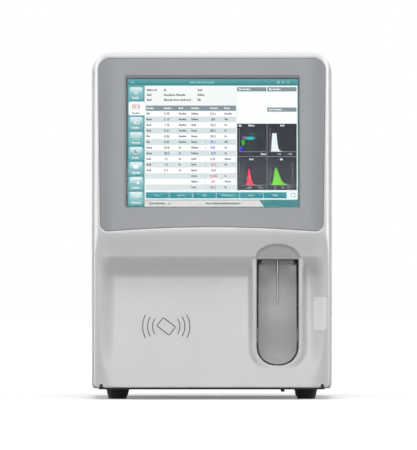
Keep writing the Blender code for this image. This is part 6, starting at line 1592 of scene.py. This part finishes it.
def circuit_material():
    """Green solder mask with faint copper tracks under it."""
    material, tree, shader = blank("green_circuit_board")
    here = add(tree, "TexCoord").outputs["Object"]
    bricks = add(tree, "TexBrick", {"Vector": here, "Scale": 160.0, "Mortar Size": 0.035,
                                    "Color1": (0.008, 0.10, 0.045, 1), "Color2": (0.01, 0.12, 0.05, 1),
                                    "Mortar": (0.03, 0.20, 0.09, 1)})
    tone = use(tree, "tone", color=bricks.outputs["Color"], dust=0.1, drift=0.05, mottle=0.04)
    tree.links.new(tone.outputs["Color"], shader.inputs["Base Color"])
    grained = use(tree, "moulded", grain=1200.0, roughness=0.36, uneven=0.08)
    tree.links.new(grained.outputs["Roughness"], shader.inputs["Roughness"])
    tree.links.new(bumped(tree, bricks.outputs["Fac"], 0.2, 0.0001), shader.inputs["Normal"])
    return material


def clear_material():
    """Clear moulded plastic, slightly clouded."""
    material, tree, shader = blank("clear_plastic")
    tone = use(tree, "tone", color=(0.86, 0.90, 0.91), dust=0.06, drift=0.02, mottle=0.01)
    tree.links.new(tone.outputs["Color"], shader.inputs["Base Color"])
    grained = use(tree, "moulded", grain=300.0, roughness=0.12, uneven=0.05)
    tree.links.new(grained.outputs["Roughness"], shader.inputs["Roughness"])
    tree.links.new(bumped(tree, grained.outputs["Height"], 0.04, 0.0002), shader.inputs["Normal"])
    shader.inputs["Transmission Weight"].default_value = 0.72
    shader.inputs["IOR"].default_value = 1.49
    return material


def glass_material():
    """The screen's glass: clear, with faint smears in its gloss."""
    material, tree, shader = blank("touch_screen_glass")
    here = add(tree, "TexCoord").outputs["Object"]
    smears = ramp(tree, noise(tree, here, 22.0, 5, 0.6), 0.35, 0.7, 0.02, 0.10)
    tree.links.new(smears, shader.inputs["Roughness"])
    tone = use(tree, "tone", color=(0.97, 0.985, 0.985), dust=0.0, drift=0.004, mottle=0.002)
    tree.links.new(tone.outputs["Color"], shader.inputs["Base Color"])
    shader.inputs["Transmission Weight"].default_value = 1.0
    shader.inputs["IOR"].default_value = 1.12
    return material


def picture_material():
    """The lit picture: its colour comes from the mesh, with the fine dark lines between the screen's rows."""
    material, tree, shader = blank("lit_screen_picture")
    colour = add(tree, "Attribute", attribute_name="picture_colour").outputs["Color"]
    here = add(tree, "TexCoord").outputs["Object"]
    height = add(tree, "SeparateXYZ", {"Vector": here}).outputs["Z"]
    rows = maths(tree, "SINE", maths(tree, "MULTIPLY", height, math.tau / (0.5 * MM)), 0)
    level = ramp(tree, rows, -1.0, 1.0, 0.94, 1.0)
    glow = ramp(tree, noise(tree, here, 6.0, 1), 0.3, 0.7, 0.97, 1.0)
    value = maths(tree, "MULTIPLY", level, glow)
    lit = add(tree, "HueSaturation", {"Color": colour, "Value": value}).outputs["Color"]
    tree.links.new(lit, shader.inputs["Emission Color"])
    shader.inputs["Emission Strength"].default_value = 1.0
    tree.links.new(mixed(tree, 0.96, colour, (0.0, 0.0, 0.0)), shader.inputs["Base Color"])
    shader.inputs["Roughness"].default_value = 0.5
    shader.inputs["Specular IOR Level"].default_value = 0.0
    return material


# Putting the object together

STRIP_HALF = 141 * MM
STRIP_START = 10 * MM
STRIP_BACK = 58 * MM
STRIP_CORNER = 5 * MM
STRIP_LOW = 12.4 * MM
STRIP_HIGH = 19 * MM
LINER_START = 12 * MM
LINER_BACK = 57 * MM
LINER_SET = 0.1 * MM
LINER_INSIDE = 0.7 * MM
LINER_TOP = 0.5 * MM


def base_strip():
    """The dark strip between the cover and the feet: a rounded outline carried up from the tray."""
    outline = rounded_outline(-STRIP_HALF, STRIP_HALF, FRONT + STRIP_START, FRONT + STRIP_BACK, STRIP_CORNER)
    return creased(prism("base_strip", "Z", outline, STRIP_LOW, STRIP_HIGH))


def bay_shade_liner():
    """Painted shade in the bay: a black lining behind its rim, the bay's outline carried back as a thin open
    wall.
    """
    outer = bay_outline(-LINER_SET, BAY_TOP + LINER_SET)
    inner = bay_outline(-LINER_INSIDE, BAY_TOP - LINER_TOP)
    corners = ((outer, LINER_START), (outer, LINER_BACK), (inner, LINER_BACK), (inner, LINER_START))
    rows = [on_axis("Y", loop[:, 0], loop[:, 1], FRONT + depth) for loop, depth in corners]
    faces = grid_faces(4, len(outer), round_columns=True, round_rows=True)
    return outward(mesh_piece("bay_shade_liner", np.stack(rows), [faces]))


def dress_front(looks):
    """The front cover and what it carries: screen, key, spout, needle, sign and label."""
    place(base_strip(), "housing", looks["rubber"], "foot_rubber")
    # painted shade: a black lining darkens the bay's walls and the gap round the key
    place(bay_shade_liner(), "housing", looks["black"], "black_plastic")
    place(make_front_cover(), "housing", looks["white"], "housing_plastic", "front_cover")
    place(make_bezel(), "housing", looks["surround"], "bezel_plastic", "display_bezel")
    repaint("touch_glass", looks["glass"])
    broken("display_module", 0.5 * MM, looks["black"], "aluminium")
    place(make_picture(), "housing", looks["picture"], "screen_glass")
    place(make_key(), "start_key", looks["key"], "key_plastic", "aspirate_key")
    repaint("key_hinge_pin", looks["bright"])
    broken_set(looks, ("key_switch_bracket", 0.3, "plated"), ("key_switch", 0.5, "black"),
               ("switch_plunger", 0.3, "black"))
    place(make_spout("bay_drain"), "housing", looks["rubber"], "foot_rubber", "drip_spout")
    place(make_probe("sampling_needle"), "probe_slider", looks["needle"], "bright_steel", "sample_probe")
    place(card_symbol(), "housing", looks["print"], "black_plastic")
    place(blank_label(), "housing", looks["label"], "housing_plastic")


def dress_lift(looks):
    """The card reader's board and the needle's lift."""
    broken_set(looks, ("card_reader_board", 0.2, "circuit"), ("lift_bracket", 0.35, "plated"),
               ("guide_rod_left", 0.4, "bright"), ("guide_rod_right", 0.4, "bright"),
               ("probe_carriage", 0.7, "black"), ("rinse_block", 0.6, "clear"),
               ("drive_pulley", 0.15, "aluminium"), ("idler_pulley", 0.15, "aluminium"),
               ("lift_belt", 0.2, "belt"), ("lift_motor", 0.7, "black"))


def dress_housing(looks):
    """The sheets of the housing and the four feet."""
    place(make_top_cover(), "housing", looks["painted"], "painted_steel", "top_cover")
    broken_set(looks, ("left_side_panel", 0.6, "painted", 3), ("right_side_door", 0.6, "painted", 3),
               ("door_lock", 0.35, "plated"), ("base_tray", 0.5, "painted"), ("rear_panel", 0.4, "painted"),
               ("front_frame", 0.4, "plated"), ("partition_plate", 0.4, "plated"))
    for row in ("front", "rear"):
        for column in ("left", "right"):
            node = f"{row}_{column}_foot"
            low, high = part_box(node)
            centre = ((low.x + high.x) / 2, (low.y + high.y) / 2)
            place(make_foot(node + "_rubber", centre), "housing", looks["rubber"], "foot_rubber", node)


def dress_rear(looks):
    """The back: fan, mains inlet and switch, fittings, sockets and screws."""
    broken_set(looks, ("fan_frame", 0.6, "black"), ("fan_rotor", 0.3, "black"), ("power_inlet", 0.5, "black"),
               ("power_switch_frame", 0.4, "black"), ("power_rocker", 0.5, "black", 3),
               ("port_plate", 0.3, "plated"), ("data_port_block", 0.3, "plated"))
    rear = FRONT + REAR_DEPTH
    corners = (-FAN_SCREW, FAN_SCREW)
    fan = [(FAN_X + across, FAN_Z + up) for across in corners for up in corners]
    plate = [(x * MM, z * MM) for x in PLATE_SCREWS_X for z in PLATE_SCREWS_Z]
    screws = (screws_at([(x * MM, z * MM) for x, z in PANEL_SCREWS], rear, 3 * MM)
              + screws_at(fan, rear, 2.8 * MM) + screws_at(plate, rear + PLATE_PROUD, 2.2 * MM))
    place(joined("rear_screws", screws), "housing", looks["bright"], "plated_steel")
    inlet = [(INLET_X + side * INLET_SCREW, INLET_Z) for side in (-1, 1)]
    screws = screws_at(inlet, rear + INLET_PROUD - INLET_SINK, 1.9 * MM)
    place(joined("inlet_screws", screws), "housing", looks["bright"], "plated_steel")


def dress_inside(looks):
    """The syringe unit, baths, pump, valves, optics and electronics."""
    broken_set(looks, ("syringe_bracket", 0.6, "aluminium"), ("syringe_motor", 0.7, "black"),
               ("syringe_screw", 0.4, "bright"), ("syringe_drive_plate", 0.5, "aluminium"),
               ("diluent_plunger", 0.3, "bright"), ("lyse_plunger", 0.3, "bright"),
               ("diluent_syringe_barrel", 0.3, "clear"), ("lyse_syringe_barrel", 0.3, "clear"),
               ("bath_shelf", 0.4, "plated"), ("white_cell_bath", 0.3, "clear"),
               ("red_cell_bath", 0.3, "clear"), ("waste_pump", 0.8, "black"),
               ("bath_drain_tube", 0.1, "clear"), ("vacuum_chamber", 0.8, "clear"),
               ("valve_manifold", 0.6, "clear"), ("sampling_valve_body", 0.6, "painted"),
               ("valve_rotor", 0.5, "aluminium"), ("optics_housing", 1.0, "black"),
               ("main_board", 0.2, "circuit"), ("power_supply", 0.8, "plated"))


# Floor, lamps and camera

# How bright the room is to everything but the camera, gloss and glass
ROOM_LEVEL = 0.07

# Each lamp's name, place, target, width and height, and power in watts
LAMPS = (
    ("overhead_lamp", (0, -1.1, 2.37), (0, -0.2, 0.25), (2.4, 1.6), 48),
    ("top_back_lamp", (0, 0.9, 2.0), (0, 0, 0.3), (2.0, 0.8), 4),
    ("front_lamp", (0, -4.2, 0.6), (0, -0.2, 0.25), (1.3, 1.4), 40),
    ("left_kicker", (-1.85, 0.45, 0.6), (0, -0.15, 0.2), (0.6, 1.6), 26),
    ("right_kicker", (1.85, 0.45, 0.6), (0, -0.15, 0.2), (0.6, 1.6), 26))

# The floor's half width in metres, and its points each way
FLOOR_HALF = 14
FLOOR_POINTS = 29

# The photograph's lines, the column of its middle, the object's middle and floor in it, and a line's size
PHOTO_LINES = 450
PHOTO_CENTRE = 208.5
OBJECT_COLUMN = 211.8
FLOOR_LINE = 399.6
PIXEL = 1.245 * MM
CAMERA_DISTANCE = 16.0
SENSOR = 24


def rays_seen(tree):
    """1 for rays from the camera, in gloss and through glass, and 0 for the light on the object."""
    path = add(tree, "LightPath")
    seen = maths(tree, "MAXIMUM", path.outputs["Is Camera Ray"], path.outputs["Is Glossy Ray"])
    return maths(tree, "MAXIMUM", seen, path.outputs["Is Transmission Ray"])


def stage_material(name, near, far):
    """A pale surface that takes the object's shadow, and is raised to white for the rays of rays_seen.

    It is raised by the first amount beside the object and by the second one from 1.3 m on. It throws back
    less light than it shows, so the underside of the object stays in shade.
    """
    material, tree, shader = blank(name)
    seen = rays_seen(tree)
    tree.links.new(mixed(tree, seen, (0.3, 0.3, 0.3), (0.85, 0.85, 0.85)), shader.inputs["Base Color"])
    shader.inputs["Roughness"].default_value = 0.9
    shader.inputs["Specular IOR Level"].default_value = 0.1
    shader.inputs["Emission Color"].default_value = (1, 1, 1, 1)
    here = add(tree, "TexCoord").outputs["Object"]
    distance = add(tree, "VectorMath", {0: here}, operation="LENGTH").outputs["Value"]
    raised = ramp(tree, distance, 0.35, 1.3, near, far)
    tree.links.new(maths(tree, "MULTIPLY", seen, raised), shader.inputs["Emission Strength"])
    return material


def make_stage():
    """A pale floor, wide enough for a look from any side. The room beyond it is white to the camera."""
    places = np.linspace(-FLOOR_HALF, FLOOR_HALF, FLOOR_POINTS)
    x, y = np.meshgrid(places, places)
    faces = grid_faces(FLOOR_POINTS, FLOOR_POINTS)
    floor = mesh_piece("pale_floor", np.stack([x, y, 0 * x], axis=-1), [faces])
    floor.data.materials.append(stage_material("pale_floor", 0.2, 1.0))


def lamp(name, place_at, target, size, energy):
    """A rectangular lamp that looks at a target."""
    light = bpy.data.lights.new(name, "AREA")
    light.shape = "RECTANGLE"
    light.size, light.size_y = size
    light.energy = energy
    thing = bpy.data.objects.new(name, light)
    bpy.context.collection.objects.link(thing)
    thing.location = place_at
    thing.rotation_euler = (Vector(target) - Vector(place_at)).to_track_quat("-Z", "Y").to_euler()


def make_lights():
    """A broad soft lamp above and in front, a weak one above and behind, one far in front, and a low one
    behind each side that only reaches the sides and the rim. The room is white to the camera."""
    for row in LAMPS:
        lamp(*row)
    world = bpy.data.worlds.new("pale_room")
    bpy.context.scene.world = world
    world.use_nodes = True
    tree = world.node_tree
    tree.nodes.clear()
    seen = rays_seen(tree)
    strength = maths(tree, "MULTIPLY_ADD", seen, 1 - ROOM_LEVEL)
    strength.node.inputs[2].default_value = ROOM_LEVEL
    room = add(tree, "Background", {"Strength": strength})
    room.inputs["Color"].default_value = (1, 1, 1, 1)
    tree.links.new(room.outputs[0], add(tree, "OutputWorld").inputs["Surface"])


def make_camera():
    """A level camera far in front: the photograph's lines cover 560 mm at the front of the object."""
    camera = bpy.data.cameras.new("camera")
    camera.sensor_fit = "VERTICAL"
    camera.sensor_height = SENSOR
    camera.lens = SENSOR * CAMERA_DISTANCE / (PHOTO_LINES * PIXEL)
    camera.clip_end = 60
    thing = bpy.data.objects.new("camera", camera)
    bpy.context.collection.objects.link(thing)
    middle_x = (PHOTO_CENTRE - OBJECT_COLUMN) * PIXEL
    middle_z = (FLOOR_LINE - PHOTO_LINES / 2) * PIXEL
    thing.location = (middle_x, FRONT - CAMERA_DISTANCE, middle_z)
    thing.rotation_euler = (math.radians(90), 0, 0)
    bpy.context.scene.camera = thing


def main():
    """Build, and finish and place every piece."""
    set_front()
    make_camera()
    make_lights()
    make_stage()
    looks = make_materials()
    dress_front(looks)
    dress_lift(looks)
    dress_housing(looks)
    dress_rear(looks)
    dress_inside(looks)
    bpy.context.scene.view_settings.view_transform = "Standard"


main()
